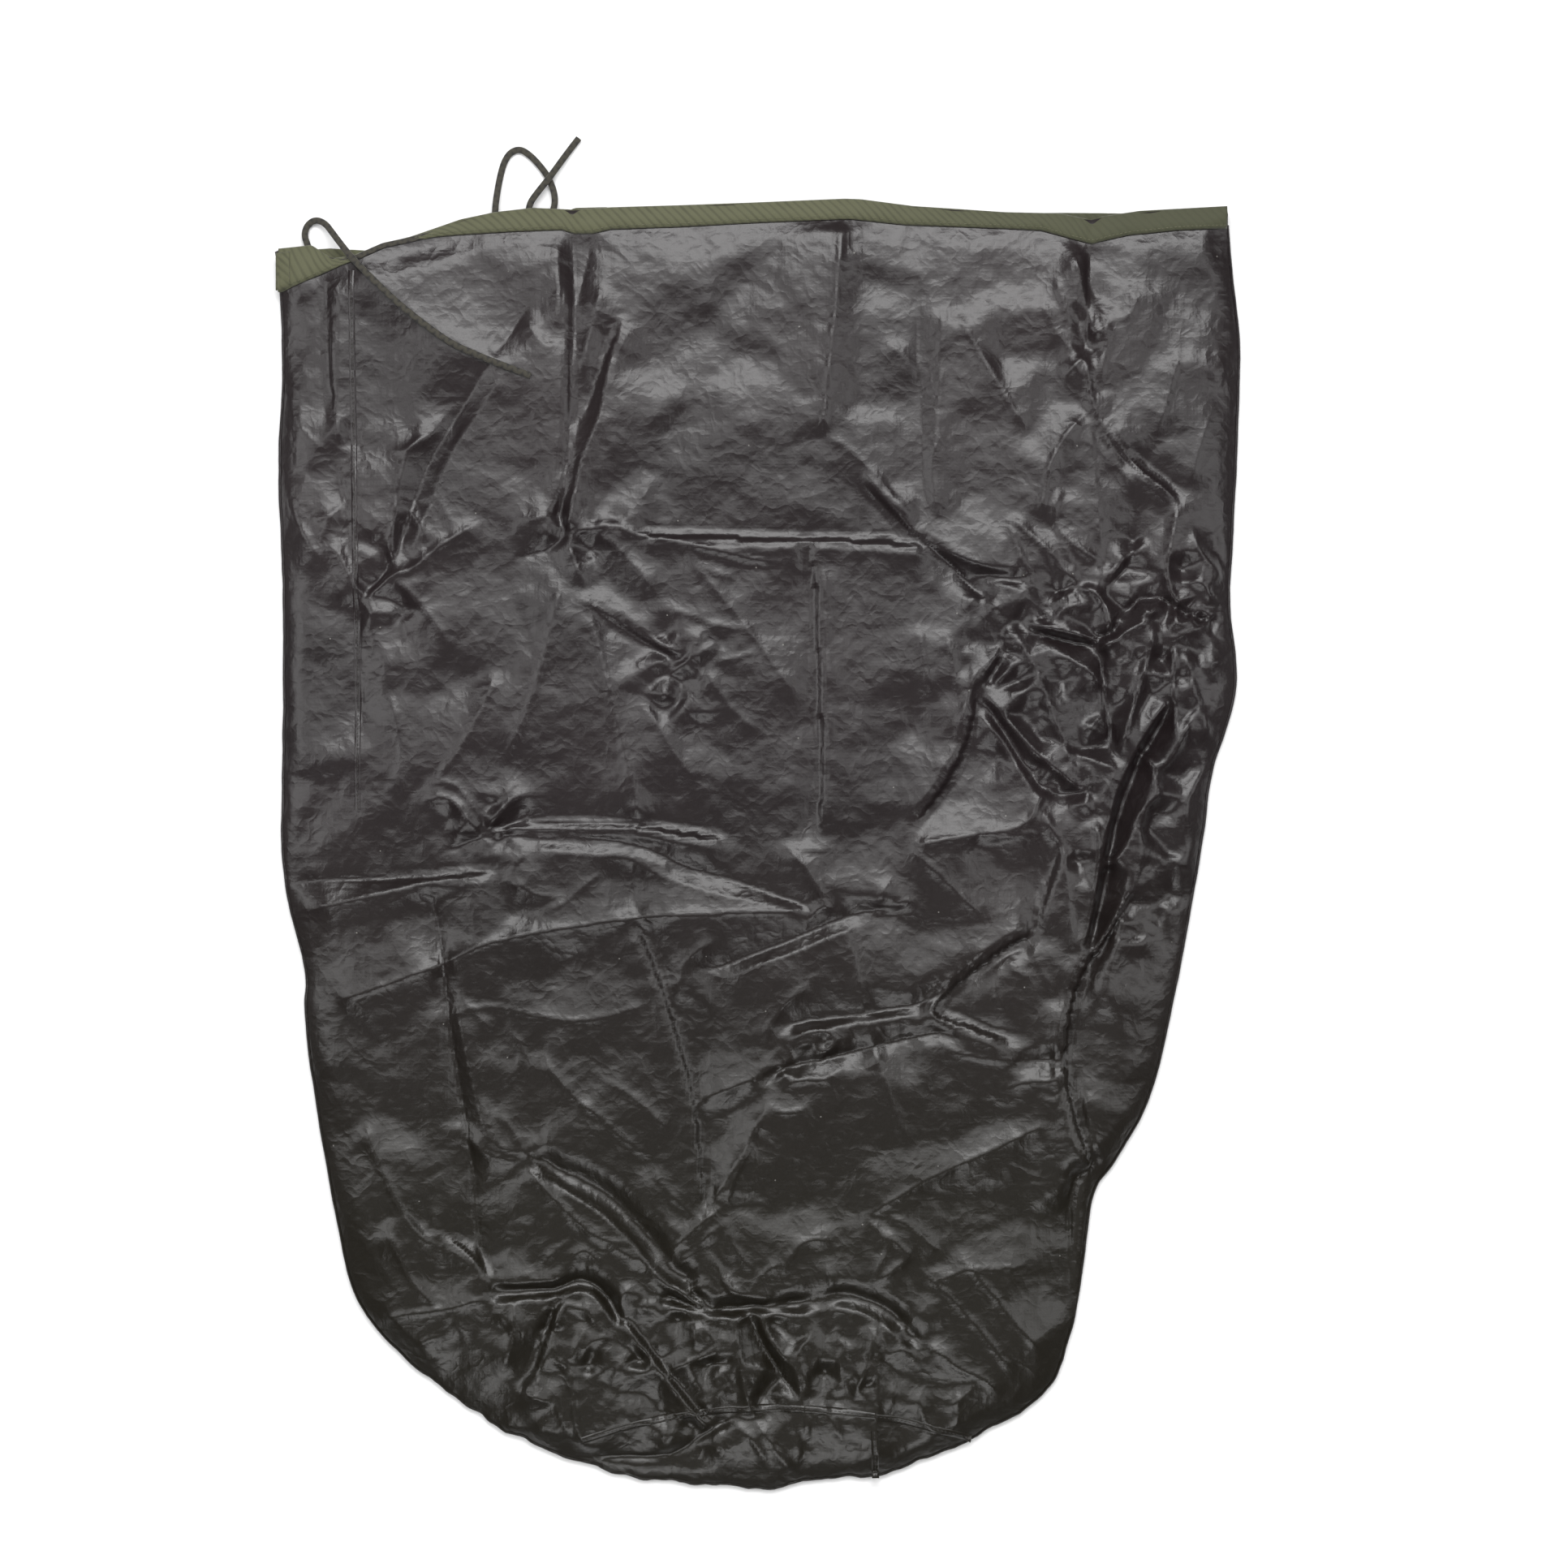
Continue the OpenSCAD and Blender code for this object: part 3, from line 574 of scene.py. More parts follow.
    ("ridge", 5, [(-140, -388), (-148, -408), (-153, -426)]),
    ("ridge", 4, [(-142, -366), (-138, -382), (-128, -396), (-118, -402)]),
    ("ridge", 4, [(-146, -424), (-138, -404), (-124, -399), (-114, -404)]),
    ("ridge", 4, [(-136, -408), (-124, -413), (-112, -409)]),
    ("ridge", 4, [(-103, -410), (-112, -426), (-124, -440)]),
    ("ridge", 4, [(-165, -430), (-164, -452), (-158, -470), (-152, -486)]),
    ("ridge", 5, [(-110, -386), (-100, -400), (-86, -418), (-72, -437), (-58, -455), (-40, -474)]),
    ("valley", 4, [(-106, -386), (-96, -400), (-82, -418), (-68, -437), (-54, -455), (-38, -472)]),
    ("ridge", 5, [(-76, -432), (-62, -422), (-46, -417), (-34, -414), (-38, -400), (-47, -386)]),
    ("ridge", 5, [(-50, -384), (-53, -398), (-48, -416)]),
    ("ridge", 5, [(-22, -384), (-16, -412), (-12, -440), (-2, -468)]),
    ("ridge", 4, [(-30, -392), (-20, -410), (-22, -435)]),
    ("valley", 7, [(-8, -382), (4, -410), (18, -432), (28, -446)]),
    ("ridge", 5, [(0, -382), (8, -400), (20, -418), (29, -424), (34, -445), (40, -470), (38, -486)]),
    ("ridge", 6, [(50, -394), (40, -402), (30, -414), (36, -428), (42, -448)]),
    ("ridge", 4, [(58, -400), (48, -412), (44, -432)]),
    ("ridge", 4, [(70, -402), (66, -418), (68, -438)]),
    ("ridge", 6, [(93, -384), (94, -402), (86, -424), (78, -452)]),
    ("ridge", 5, [(96, -390), (98, -420), (95, -460), (97, -508)]),
    ("ridge", 5, [(100, -388), (112, -398), (126, -393)]),
    ("ridge", 5, [(98, -420), (112, -410), (136, -410)]),
    ("ridge", 5, [(130, -402), (148, -414), (166, -428), (180, -432), (190, -440), (198, -450)]),
    ("ridge", 5, [(180, -434), (168, -448), (150, -460)]),
    ("ridge", 4, [(112, -432), (108, -450), (102, -466)]),
    ("ridge", 4, [(130, -440), (132, -462), (140, -478), (156, -486)]),
    ("ridge", 4, [(160, -440), (162, -462), (158, -482)]),
    ("valley", 8, [
        (-152, -497), (-125, -500), (-95, -500), (-66, -496), (-50, -484), (-32, -472), (-22, -468)]),
    ("ridge", 4, [(-76, -494), (-70, -478), (-64, -468)]),
    ("ridge", 4, [(-36, -472), (-34, -490), (-28, -506)]),
    ("ridge", 5, [(-22, -470), (-8, -480), (2, -494), (8, -510)]),
    ("ridge", 5, [(-6, -466), (8, -482), (18, -500), (34, -518)]),
    ("ridge", 4, [(28, -446), (26, -470), (34, -490), (30, -504)]),
    ("ridge", 4, [(-206, -470), (-196, -480), (-184, -492)]),
    ("ridge", 4, [(-188, -472), (-178, -484), (-170, -490)]),
    ("valley", 5, [(-262, -434), (-236, -452), (-212, -470), (-196, -470)]),
    ("ridge", 4, [(50, -450), (60, -470), (72, -490)]),
    ("ridge", 4, [(60, -395), (76, -415), (84, -440)]),
]


# Between the creases the cloth is crumpled into flat facets, smaller where it is crushed.
rumple = {
    "facet": 36,             # mm across the facets
    "crushedFacet": 16,
    "height": 2.8,           # how far their corners stand above or below the cloth
    "crushedHeight": 5.4,
    "fine": 0.5,             # ripples on them, and their size
    "fineSize": 17,
    "swell": 1.3,            # and slow waves
    "swellSize": 55,
    "clear": 0.42,           # facets' corners keep this share of a facet away from the creases
    "soft": 6.0,             # how far the edges between facets are rounded
    "crushedSoft": 0.35,     # and the share of that where it is crushed
    "jitter": 0.38,          # how far, in facets, their corners are off a regular grid
    "seed": 11,
    "lowest": 3.0,
    "highest": 31,
}
crushedAt = [                # middle, reach across, reach along
    ((275, 130), 100, 110), ((-20, -430), 150, 55), ((-300, 220), 35, 45), ((-150, 255), 30, 30),
    ((-225, 20), 35, 28), ((40, -170), 42, 24), ((300, -20), 50, 80), ((-60, 140), 40, 38),
    ((-100, -380), 120, 25), ((355, 200), 40, 50),
]


def crushed(xy):
    share = np.zeros(len(xy))
    for (x, y), across, along in crushedAt:
        far = np.hypot((xy[:, 0] - x) / across, (xy[:, 1] - y) / along)
        share = np.maximum(share, np.clip(1.5 - far, 0, 1))
    return share * share * (3 - 2 * share)


# How each kind of crease lies across its line: how far to its left, and its share of the height.
creaseRows = {
    "ridge": lambda: [(0, 1.0)],
    "valley": lambda: [(0, -0.6)],
    "flap": lambda width: [(width + 9, 0.45), (2, 1.0), (-2, -0.55)],
    "groove": lambda width: [(width * 1.5, 0.5), (0, -0.8), (-width * 0.5, 0.35)],
}
creaseEdge = {               # the sharp edge on the line: its share of the height, and its reach
    "ridge": (0.4, 2.4),
    "valley": (-0.4, 2),
    "flap": (0.42, 5),
}
creaseSteps = {
    "along": 4.5,            # between the corners along a crease
    "merge": 3.2,            # corners closer than this become one
    "fade": 16,              # from a crease's end to its full height
    "edgeFade": 14,          # the same for its sharp edge
    "edgeReach": 16,         # how far from a crease its edge is worked out
}


# the sharp edge along each crease, on top of the slopes on either side of it
def creaseEdges(xy):
    z = np.zeros(len(xy))
    around = creaseSteps["edgeReach"]
    for kind, height, points, *width in creases:
        line = smoothLine(points)
        near = ((xy > line.min(0) - around) & (xy < line.max(0) + around)).all(1)
        if kind not in creaseEdge or not near.any():
            continue
        dist, side, along = nearest(xy[near], line)
        length = np.linalg.norm(np.diff(line, axis=0), axis=1).sum()
        fade = np.clip(np.minimum(along, length - along) / creaseSteps["edgeFade"], 0, 1)
        share, reach = creaseEdge[kind]
        if kind == "flap":
            share = share * side
        z[near] += share * np.exp(-dist / reach) * height * fade
    return z


# corners of the creased cloth: along each crease, and then jittered over what is left
def creaseCorners():
    corners = []
    step = creaseSteps["along"]
    for kind, height, points, *width in creases:
        line = evenly(smoothLine(points, 1), step)
        left = leftOf(line)
        far = np.arange(len(line)) * step
        fade = np.clip(np.minimum(far, far[-1] - far) / creaseSteps["fade"] + 0.3, 0, 1)
        for across, share in creaseRows[kind](*width):
            spots = line + left * across
            corners.append(np.column_stack([spots, height * share * fade]))
    return np.vstack(corners)


# corners closer together than a crease is wide become one
def mergeCorners(corners, reach):
    cells = {}
    for x, y, z in corners:
        cells.setdefault((round(x / reach), round(y / reach)), []).append((x, y, z))
    return np.array([np.mean(group, axis=0) for group in cells.values()])


def fillCorners(taken):
    rng = np.random.default_rng(rumple["seed"])
    low = outlineRing.min(0) - 20
    high = outlineRing.max(0) + 20
    added = []
    kinds = [
        (rumple["crushedFacet"], rumple["crushedHeight"], True),
        (rumple["facet"], rumple["height"], False),
    ]
    for step, height, wantsCrushed in kinds:
        xs, ys = np.meshgrid(np.arange(low[0], high[0], step), np.arange(low[1], high[1], step * 0.87))
        spots = np.column_stack([xs.ravel(), ys.ravel()])
        spots += rng.uniform(-rumple["jitter"], rumple["jitter"], spots.shape) * step
        spots = spots[(crushed(spots) > 0.45) == wantsCrushed]
        heights = rng.uniform(-height, height, len(spots))
        for (x, y), z in zip(spots, heights):
            if ((taken[:, 0] - x) ** 2 + (taken[:, 1] - y) ** 2).min() > (step * rumple["clear"]) ** 2:
                added.append((x, y, z))
    return np.array(added)


def makeFacets():
    corners = mergeCorners(creaseCorners(), creaseSteps["merge"])
    corners = np.vstack([corners, fillCorners(corners)])
    flat = [Vector((x, y)) for x, y, z in corners]
    found = delaunay_2d_cdt(flat, [], [], 0, 0.001)
    places = [Vector(corners[group[0]]) for group in found[3]]
    return BVHTree.FromPolygons(places, found[2])


# the facets' height, rounded where they meet by taking it around each point
def facetHeight(xy):
    down = Vector((0, 0, -1))
    out = np.zeros(len(xy))
    reach = rumple["soft"] * (1 - (1 - rumple["crushedSoft"]) * crushed(xy))
    around = [(0, 0)] + [(math.cos(a), math.sin(a)) for a in np.arange(8) * math.pi / 4]
    for dx, dy in around:
        for k, (x, y) in enumerate(xy):
            hit = facetTree.ray_cast(Vector((x + dx * reach[k], y + dy * reach[k], 100)), down)[0]
            if hit is not None:
                out[k] += hit.z / len(around)
    return out


def ripple(xy, size, seed):
    out = np.empty(len(xy))
    for k, (x, y) in enumerate(xy):
        p = Vector((x / size, y / size, seed))
        out[k] = noise.fractal(p, 1.0, 2.1, 3)
    return out


# The cloth under the left tail of the cord is flatter, so that the cord lies on it.
cordBed = {
    "firstOn": 12,           # the tail's first point that lies on the cloth
    "flat": 3,               # on either side of the cord
    "reach": 30,
    "press": 1.1,            # under the cord
    "dip": 0.6,              # beside it
    "beside": 9,
    "level": 16,             # the cloth's creases stand as far above and below this as "most"
    "most": 4,
}
cordPath = leftRoute[cordBed["firstOn"]:, :2] / mm


def bedCord(xy, z):
    dist = nearest(xy, cordPath)[0]
    near = np.exp(-(np.maximum(dist - cordBed["flat"], 0) / cordBed["reach"]) ** 1.6)
    under = (leftRoute[-1][2] - cord["thick"] / 2) / mm - cordBed["press"]
    beside = np.exp(-(dist / cordBed["beside"]) ** 2)
    rest = np.clip(z - cordBed["level"], -cordBed["most"], cordBed["most"]) * (0.75 - 0.55 * beside)
    return z * (1 - near) + (under + rest - cordBed["dip"] * (1 - beside)) * near


# the height of the front: it rises from its edge and from the mouth, and its creases die away there
def frontHeight(xy):
    edge = nearest(xy, outlineRing)[0]
    mouth = nearest(xy, mouthEdge)[0]
    rise = 1 - np.exp(-edge / sack["edgeRound"] * 2.4)
    base = sack["edgeHeight"] + (sack["clothHeight"] - sack["edgeHeight"]) * rise
    byMouth = np.exp(-mouth / sack["mouthReach"])
    base = base * (1 - byMouth) + sack["mouthHeight"] * byMouth
    inside = np.clip((mouth - 4) / sack["mouthReach"], 0, 1)
    creased = np.clip(edge / sack["edgeCalm"], 0, 1) * (0.12 + 0.88 * inside)
    fine = rumple["fine"] * (1 + 1.5 * crushed(xy)) * ripple(xy, rumple["fineSize"], 3.1)
    swell = rumple["swell"] * ripple(xy, rumple["swellSize"], 6.4)
    z = base + (facetHeight(xy) + creaseEdges(xy) + fine + swell) * creased
    return bedCord(xy, np.clip(z, rumple["lowest"], rumple["highest"]))


# the gathers make the edge of the foot uneven
def gathered(line):
    line = evenly(line, 4)
    outward = -leftOf(line)
    share = np.clip((-400 - line[:, 1]) / 50, 0.12, 1)
    wave = ripple(line, 26, 9.2) * 4 + ripple(line, 60, 2.2) * 3
    return line + outward * (wave * share)[:, None]


outlineSide = gathered(smoothLine(outline, 2))
outlineRing = np.vstack([outlineSide, smoothLine(mouthTop, 1)[::-1]])
mouthEdge = smoothLine(mouthTop, 1)
facetTree = makeFacets()


# a square grid cut to the outline, its outer points moved onto it: places, pinned points and faces
def cutGrid(step):
    low = outlineRing.min(0) - step
    high = outlineRing.max(0) + step
    xs = np.arange(low[0], high[0] + step, step)
    ys = np.arange(low[1], high[1] + step, step)
    gx, gy = np.meshgrid(xs, ys, indexing="ij")
    flat = np.stack([gx.ravel(), gy.ravel()], axis=1)
    inside = insideOutline(flat)
    dist = nearest(flat, np.vstack([outlineRing, outlineRing[:1]]))[0]
    keep = (inside | (dist < step * 0.35)).reshape(gx.shape)
    cells = keep[:-1, :-1] & keep[1:, :-1] & keep[:-1, 1:] & keep[1:, 1:]
    used = np.zeros(keep.shape, bool)
    corners = np.zeros(keep.shape, int)
    for di, dj in ((0, 0), (1, 0), (0, 1), (1, 1)):
        used[di:di + cells.shape[0], dj:dj + cells.shape[1]] |= cells
        corners[di:di + cells.shape[0], dj:dj + cells.shape[1]] += cells
    rim = used & (corners < 4)
    points = np.stack([gx, gy], axis=2)
    points[rim] = pullOnto(points[rim])
    return points, used, rim, cells


def insideOutline(xy):
    a = outlineRing
    b = np.roll(outlineRing, -1, axis=0)
    inside = np.zeros(len(xy), bool)
    for (x1, y1), (x2, y2) in zip(a, b):
        if y1 == y2:
            continue
        crosses = (xy[:, 1] > min(y1, y2)) & (xy[:, 1] <= max(y1, y2))
        inside ^= crosses & (xy[:, 0] < (x2 - x1) * (xy[:, 1] - y1) / (y2 - y1) + x1)
    return inside


def pullOnto(xy):
    ring = evenly(np.vstack([outlineRing, outlineRing[:1]]), 0.7)
    out = np.empty_like(xy)
    for k, p in enumerate(xy):
        out[k] = ring[((ring - p) ** 2).sum(1).argmin()]
    return out


def gridMesh(name, points, used, cells, z):
    number = np.cumsum(used.ravel()).reshape(used.shape) - 1
    a = number[:-1, :-1][cells]
    b = number[1:, :-1][cells]
    c = number[1:, 1:][cells]
    d = number[:-1, 1:][cells]
    co = np.column_stack([points[used], z]) * mm
    return addMesh(name, co, np.stack([a, b, c, d], axis=1).tolist())


# The cloth is longer than its creased shape needs, so it buckles a little between the creases.
drape = {
    "frames": 22,
    "extra": -0.045,         # how much the cloth is longer, as the shrink of the modifier
    "tension": 12,
    "bending": 0.08,
    "cap": 3.8,              # how far a point may move, mm
    "damping": 8,
    "byCord": 9,             # what is this near to the cord or to the mouth stays put, mm
    "byMouth": 26,
}


def drapeCloth(piece, pinned):
    group = piece.vertex_groups.new(name="held")
    group.add([int(k) for k in np.flatnonzero(pinned)], 1.0, "ADD")
    scene = bpy.context.scene
    start = readPoints(piece.data).copy()
    activate(piece)
    cloth = piece.modifiers.new("cloth", "CLOTH")
    settings = cloth.settings
    settings.quality = 4
    settings.mass = 0.05
    settings.tension_stiffness = drape["tension"]
    settings.compression_stiffness = drape["tension"]
    settings.shear_stiffness = drape["tension"] / 3
    settings.bending_stiffness = drape["bending"]
    settings.tension_damping = drape["damping"]
    settings.compression_damping = drape["damping"]
    settings.air_damping = 4
    settings.shrink_min = drape["extra"]
    settings.vertex_group_mass = "held"
    settings.pin_stiffness = 1
    settings.effector_weights.gravity = 0
    cloth.collision_settings.use_collision = False
    cloth.collision_settings.use_self_collision = False
    cloth.point_cache.frame_start = 1
    cloth.point_cache.frame_end = drape["frames"]
    for number in range(1, drape["frames"] + 1):
        scene.frame_set(number)
    moved = piece.evaluated_get(bpy.context.evaluated_depsgraph_get()).to_mesh()
    change = readPoints(moved) - start
    piece.evaluated_get(bpy.context.evaluated_depsgraph_get()).to_mesh_clear()
    piece.modifiers.remove(cloth)
    scene.frame_set(1)
    far = np.linalg.norm(change, axis=1)
    cap = drape["cap"] * mm
    return change * (cap * np.tanh(far / cap) / np.maximum(far, 1e-9))[:, None]


# the front of the sack: draped coarse, then halved, with its creases cut again into the finer mesh
def makeFront():
    points, used, rim, cells = cutGrid(sack["grid"])
    xy = points[used]
    piece = gridMesh("front", points, used, cells, frontHeight(xy))
    change = np.zeros((len(xy), 3))
    byCord = nearest(xy, cordPath)[0] < drape["byCord"]
    byMouth = nearest(xy, mouthEdge)[0] < drape["byMouth"]
    change = drapeCloth(piece, rim[used] | byCord | byMouth)
    moved = piece.data.attributes.new("moved", "FLOAT_VECTOR", "POINT")
    moved.data.foreach_set("vector", change.ravel())
    editAll(piece, bpy.ops.mesh.subdivide, number_cuts=1)
    co = readPoints(piece.data)
    change = np.empty(len(co) * 3)
    piece.data.attributes["moved"].data.foreach_get("vector", change)
    change = change.reshape(-1, 3)
    co[:, 2] = frontHeight(co[:, :2] / mm) * mm
    co += change
    co[:, 2] = np.maximum(co[:, 2], 0.003)
    piece.data.vertices.foreach_set("co", co.ravel())
    piece.data.attributes.remove(piece.data.attributes["moved"])
    piece.vertex_groups.clear()
    piece.data.polygons.foreach_set("use_smooth", [True] * len(piece.data.polygons))
    piece.data.update()
    return piece


def copyOf(piece, name):
    part = piece.copy()
    part.data = piece.data.copy()
    part.name = name
    part.data.name = name
    bpy.context.scene.collection.objects.link(part)
    return part


# the part of a piece whose faces the test keeps, as a piece of its own
def partOf(piece, name, keepFace):
    part = copyOf(piece, name)
    bm = bmesh.new()
    bm.from_mesh(part.data)
    gone = [f for f in bm.faces if not keepFace(f.calc_center_median())]
    bmesh.ops.delete(bm, geom=gone, context="FACES")
    bm.to_mesh(part.data)
    bm.free()
    return part


# the half of a piece on one side of x
def cutAt(piece, name, x, keepLeft):
    part = copyOf(piece, name)
    bm = bmesh.new()
    bm.from_mesh(part.data)
    bmesh.ops.bisect_plane(
        bm, geom=bm.verts[:] + bm.edges[:] + bm.faces[:], plane_co=(x, 0, 0), plane_no=(1, 0, 0),
        clear_outer=keepLeft, clear_inner=not keepLeft)
    bm.to_mesh(part.data)
    bm.free()
    return part


# The front is split in two at a fold. The foot, the corners and the middle of the mouth are listed
# too, but nothing reads them, and the halves are not bent.
fold = {
    "x": sack["split"] * mm,
    "foot": -0.45,
    "leftCorner": (-0.394, 0.483),
    "rightCorner": (0.382, 0.518),
    "mouthMiddle": 0.52,
}


def bendWithMouth(piece):
    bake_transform(piece)


# splits a piece of the front at the fold where it crosses it, gives each half its material and hides the
# parts it stands for
def finishFront(piece, slot, material, *nodes):
    x = readPoints(piece.data)[:, 0]
    halves = []
    if x.min() < fold["x"] < x.max():
        for side, onLeft in (("left", True), ("right", False)):
            half = cutAt(piece, f"{piece.name}_{side}", fold["x"], onLeft)
            halves.append((half, onLeft))
        bpy.data.objects.remove(piece)
    else:
        halves.append((piece, x.max() <= fold["x"] + 1e-6))
    for half, onLeft in halves:
        giveMaterial(half, material)
        bendWithMouth(half)
        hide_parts(*nodes)
    return [half for half, onLeft in halves]


def finishBack(piece, slot, material, *nodes):
    giveMaterial(piece, material)
    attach(piece, "back")
    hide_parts(*nodes)


def giveMaterial(piece, material):
    piece.data.materials.clear()
    piece.data.materials.append(material)


def treeOf(*pieces):
    vertices = []
    faces = []
    for piece in pieces:
        first = len(vertices)
        vertices += [v.co.copy() for v in piece.data.vertices]
        faces += [[first + k for k in face.vertices] for face in piece.data.polygons]
    return BVHTree.FromPolygons(vertices, faces)


# height in mm of what lies under a point
def topAt(tree, x, y):
    hit = tree.ray_cast(Vector((x * mm, y * mm, 0.1)), Vector((0, 0, -1)))[0]
    return sack["missHeight"] if hit is None else hit.z / mm


def topAlong(tree, xy, rounds=0):
    z = np.array([topAt(tree, x, y) for x, y in xy])
    for _ in range(rounds):
        z[1:-1] = (z[:-2] + 2 * z[1:-1] + z[2:]) / 4
    return z


def solidify(piece, thickness):
    activate(piece)
    wall = piece.modifiers.new("wall", "SOLIDIFY")
    wall.thickness = thickness
    wall.offset = 0
    bpy.ops.object.modifier_apply(modifier=wall.name)


# a strip of rows of points in mm, with a UV map in metres: u along the rows, v across them
def stripPiece(name, rows):
    rows = np.array(rows)
    count, length = rows.shape[:2]
    faces = []
    for i in range(count - 1):
        for k in range(length - 1):
            a = i * length + k
            faces.append((a, a + 1, a + length + 1, a + length))
    piece = addMesh(name, rows.reshape(-1, 3) * mm, faces)
    alongRow = farAlong(rows[0])
    acrossRow = farAlong(rows.mean(axis=1))
    uv = piece.data.uv_layers.new(name="along")
    for loop in piece.data.loops:
        i, k = divmod(loop.vertex_index, length)
        uv.data[loop.index].uv = (alongRow[k] * mm, acrossRow[i] * mm)
    return piece


# a flat lap of cloth along a line, lying on what is under it
def lapPiece(name, line, width, lift, tree):
    line = evenly(line, 2.5)
    side = leftOf(line)
    rows = []
    for across, raised in ((0.5, 0.05), (0.46, 1), (0.15, 1.15), (-0.15, 1.1), (-0.46, 0.9), (-0.5, 0.05)):
        xy = line + side * width * across
        rows.append(np.column_stack([xy, topAlong(tree, xy, 1) + lift * raised]))
    return stripPiece(name, rows)


# Sewing thread: each stitch is a small bead, pressed down at its ends.
thread = {
    "thick": 0.75,
    "length": 2.6,
    "pitch": 3.4,
}


def stitchRow(name, line, tree, length=None, pitch=None):
    length = length or thread["length"]
    bpy.ops.object.select_all(action="DESELECT")
    bpy.ops.mesh.primitive_uv_sphere_add(segments=6, ring_count=5, radius=0.5)
    bead = bpy.context.active_object
    shape = readPoints(bead.data)[:, [2, 0, 1]] * (length, thread["thick"], thread["thick"])
    shape[:, 2] *= 0.8
    beadFaces = [list(face.vertices) for face in bead.data.polygons]
    bpy.data.objects.remove(bead)
    spots = evenly(line, pitch or thread["pitch"])
    vertices = []
    faces = []
    for a, b in zip(spots[:-1], spots[1:]):
        middle = (a + b) / 2
        along = (b - a) / np.linalg.norm(b - a)
        ends = [middle - along * length * 0.4, middle + along * length * 0.4]
        z1, z2 = (topAt(tree, *end) for end in ends)
        slope = (z2 - z1) / (length * 0.8)
        first = len(vertices)
        for x, y, z in shape:
            place = middle + along * x + np.array([-along[1], along[0]]) * y
            vertices.append((place[0] * mm, place[1] * mm, ((z1 + z2) / 2 + slope * x + z + 0.12) * mm))
        faces += [[first + k for k in reversed(face)] for face in beadFaces]
    piece = addMesh(name, vertices, faces)
    editAll(piece, bpy.ops.mesh.normals_make_consistent, inside=False)
    return piece


# colours as sRGB hex, turned linear
def linear(hexColour):
    parts = [int(hexColour[k:k + 2], 16) / 255 for k in (1, 3, 5)]
    return (*[c / 12.92 if c <= 0.04045 else ((c + 0.055) / 1.055) ** 2.4 for c in parts], 1)


# adds a node with its settings, and links its inputs: a value, or (node, output)
def addNode(tree, kind, inputs=None, **settings):
    node = tree.nodes.new("ShaderNode" + kind)
    for key, value in settings.items():
        setattr(node, key, value)
    for key, value in (inputs or {}).items():
        if isinstance(value, tuple) and isinstance(value[0], bpy.types.Node):
            tree.links.new(value[0].outputs[value[1]], node.inputs[key])
        else:
            node.inputs[key].default_value = value
    return node


def newMaterial(name):
    material = bpy.data.materials.new(name)
    material.use_nodes = True
    material.node_tree.nodes.clear()
    return material, material.node_tree


def finishMaterial(tree, shader):
    addNode(tree, "OutputMaterial", {"Surface": (shader, 0)})


def rampStops(node, stops):
    ramp = node.color_ramp
    while len(ramp.elements) < len(stops):
        ramp.elements.new(0.5)
    for element, (position, colour) in zip(ramp.elements, stops):
        element.position = position
        element.color = colour


# Nylon plain weave with a polyurethane coating: dark brown-grey, a soft gloss along every crease,
# a weave that only just shows, and a few pale specks painted into the colour as glints of light.
coatedCloth = {
    "colour": "#181213",
    "olive": "#1a1711",
    "worn": "#231d1e",
    # the pale colour of the glints painted into the cloth
    "paintedGlint": "#6c6a66",
    "roughness": 0.31,
    "weave": 1.3,            # mm between threads: the real 0.3 is too fine to show
    "wrinkle": 11,           # mm across the finest wrinkles
    "paintedGlintSpacing": 26,            # mm between the painted glints
}


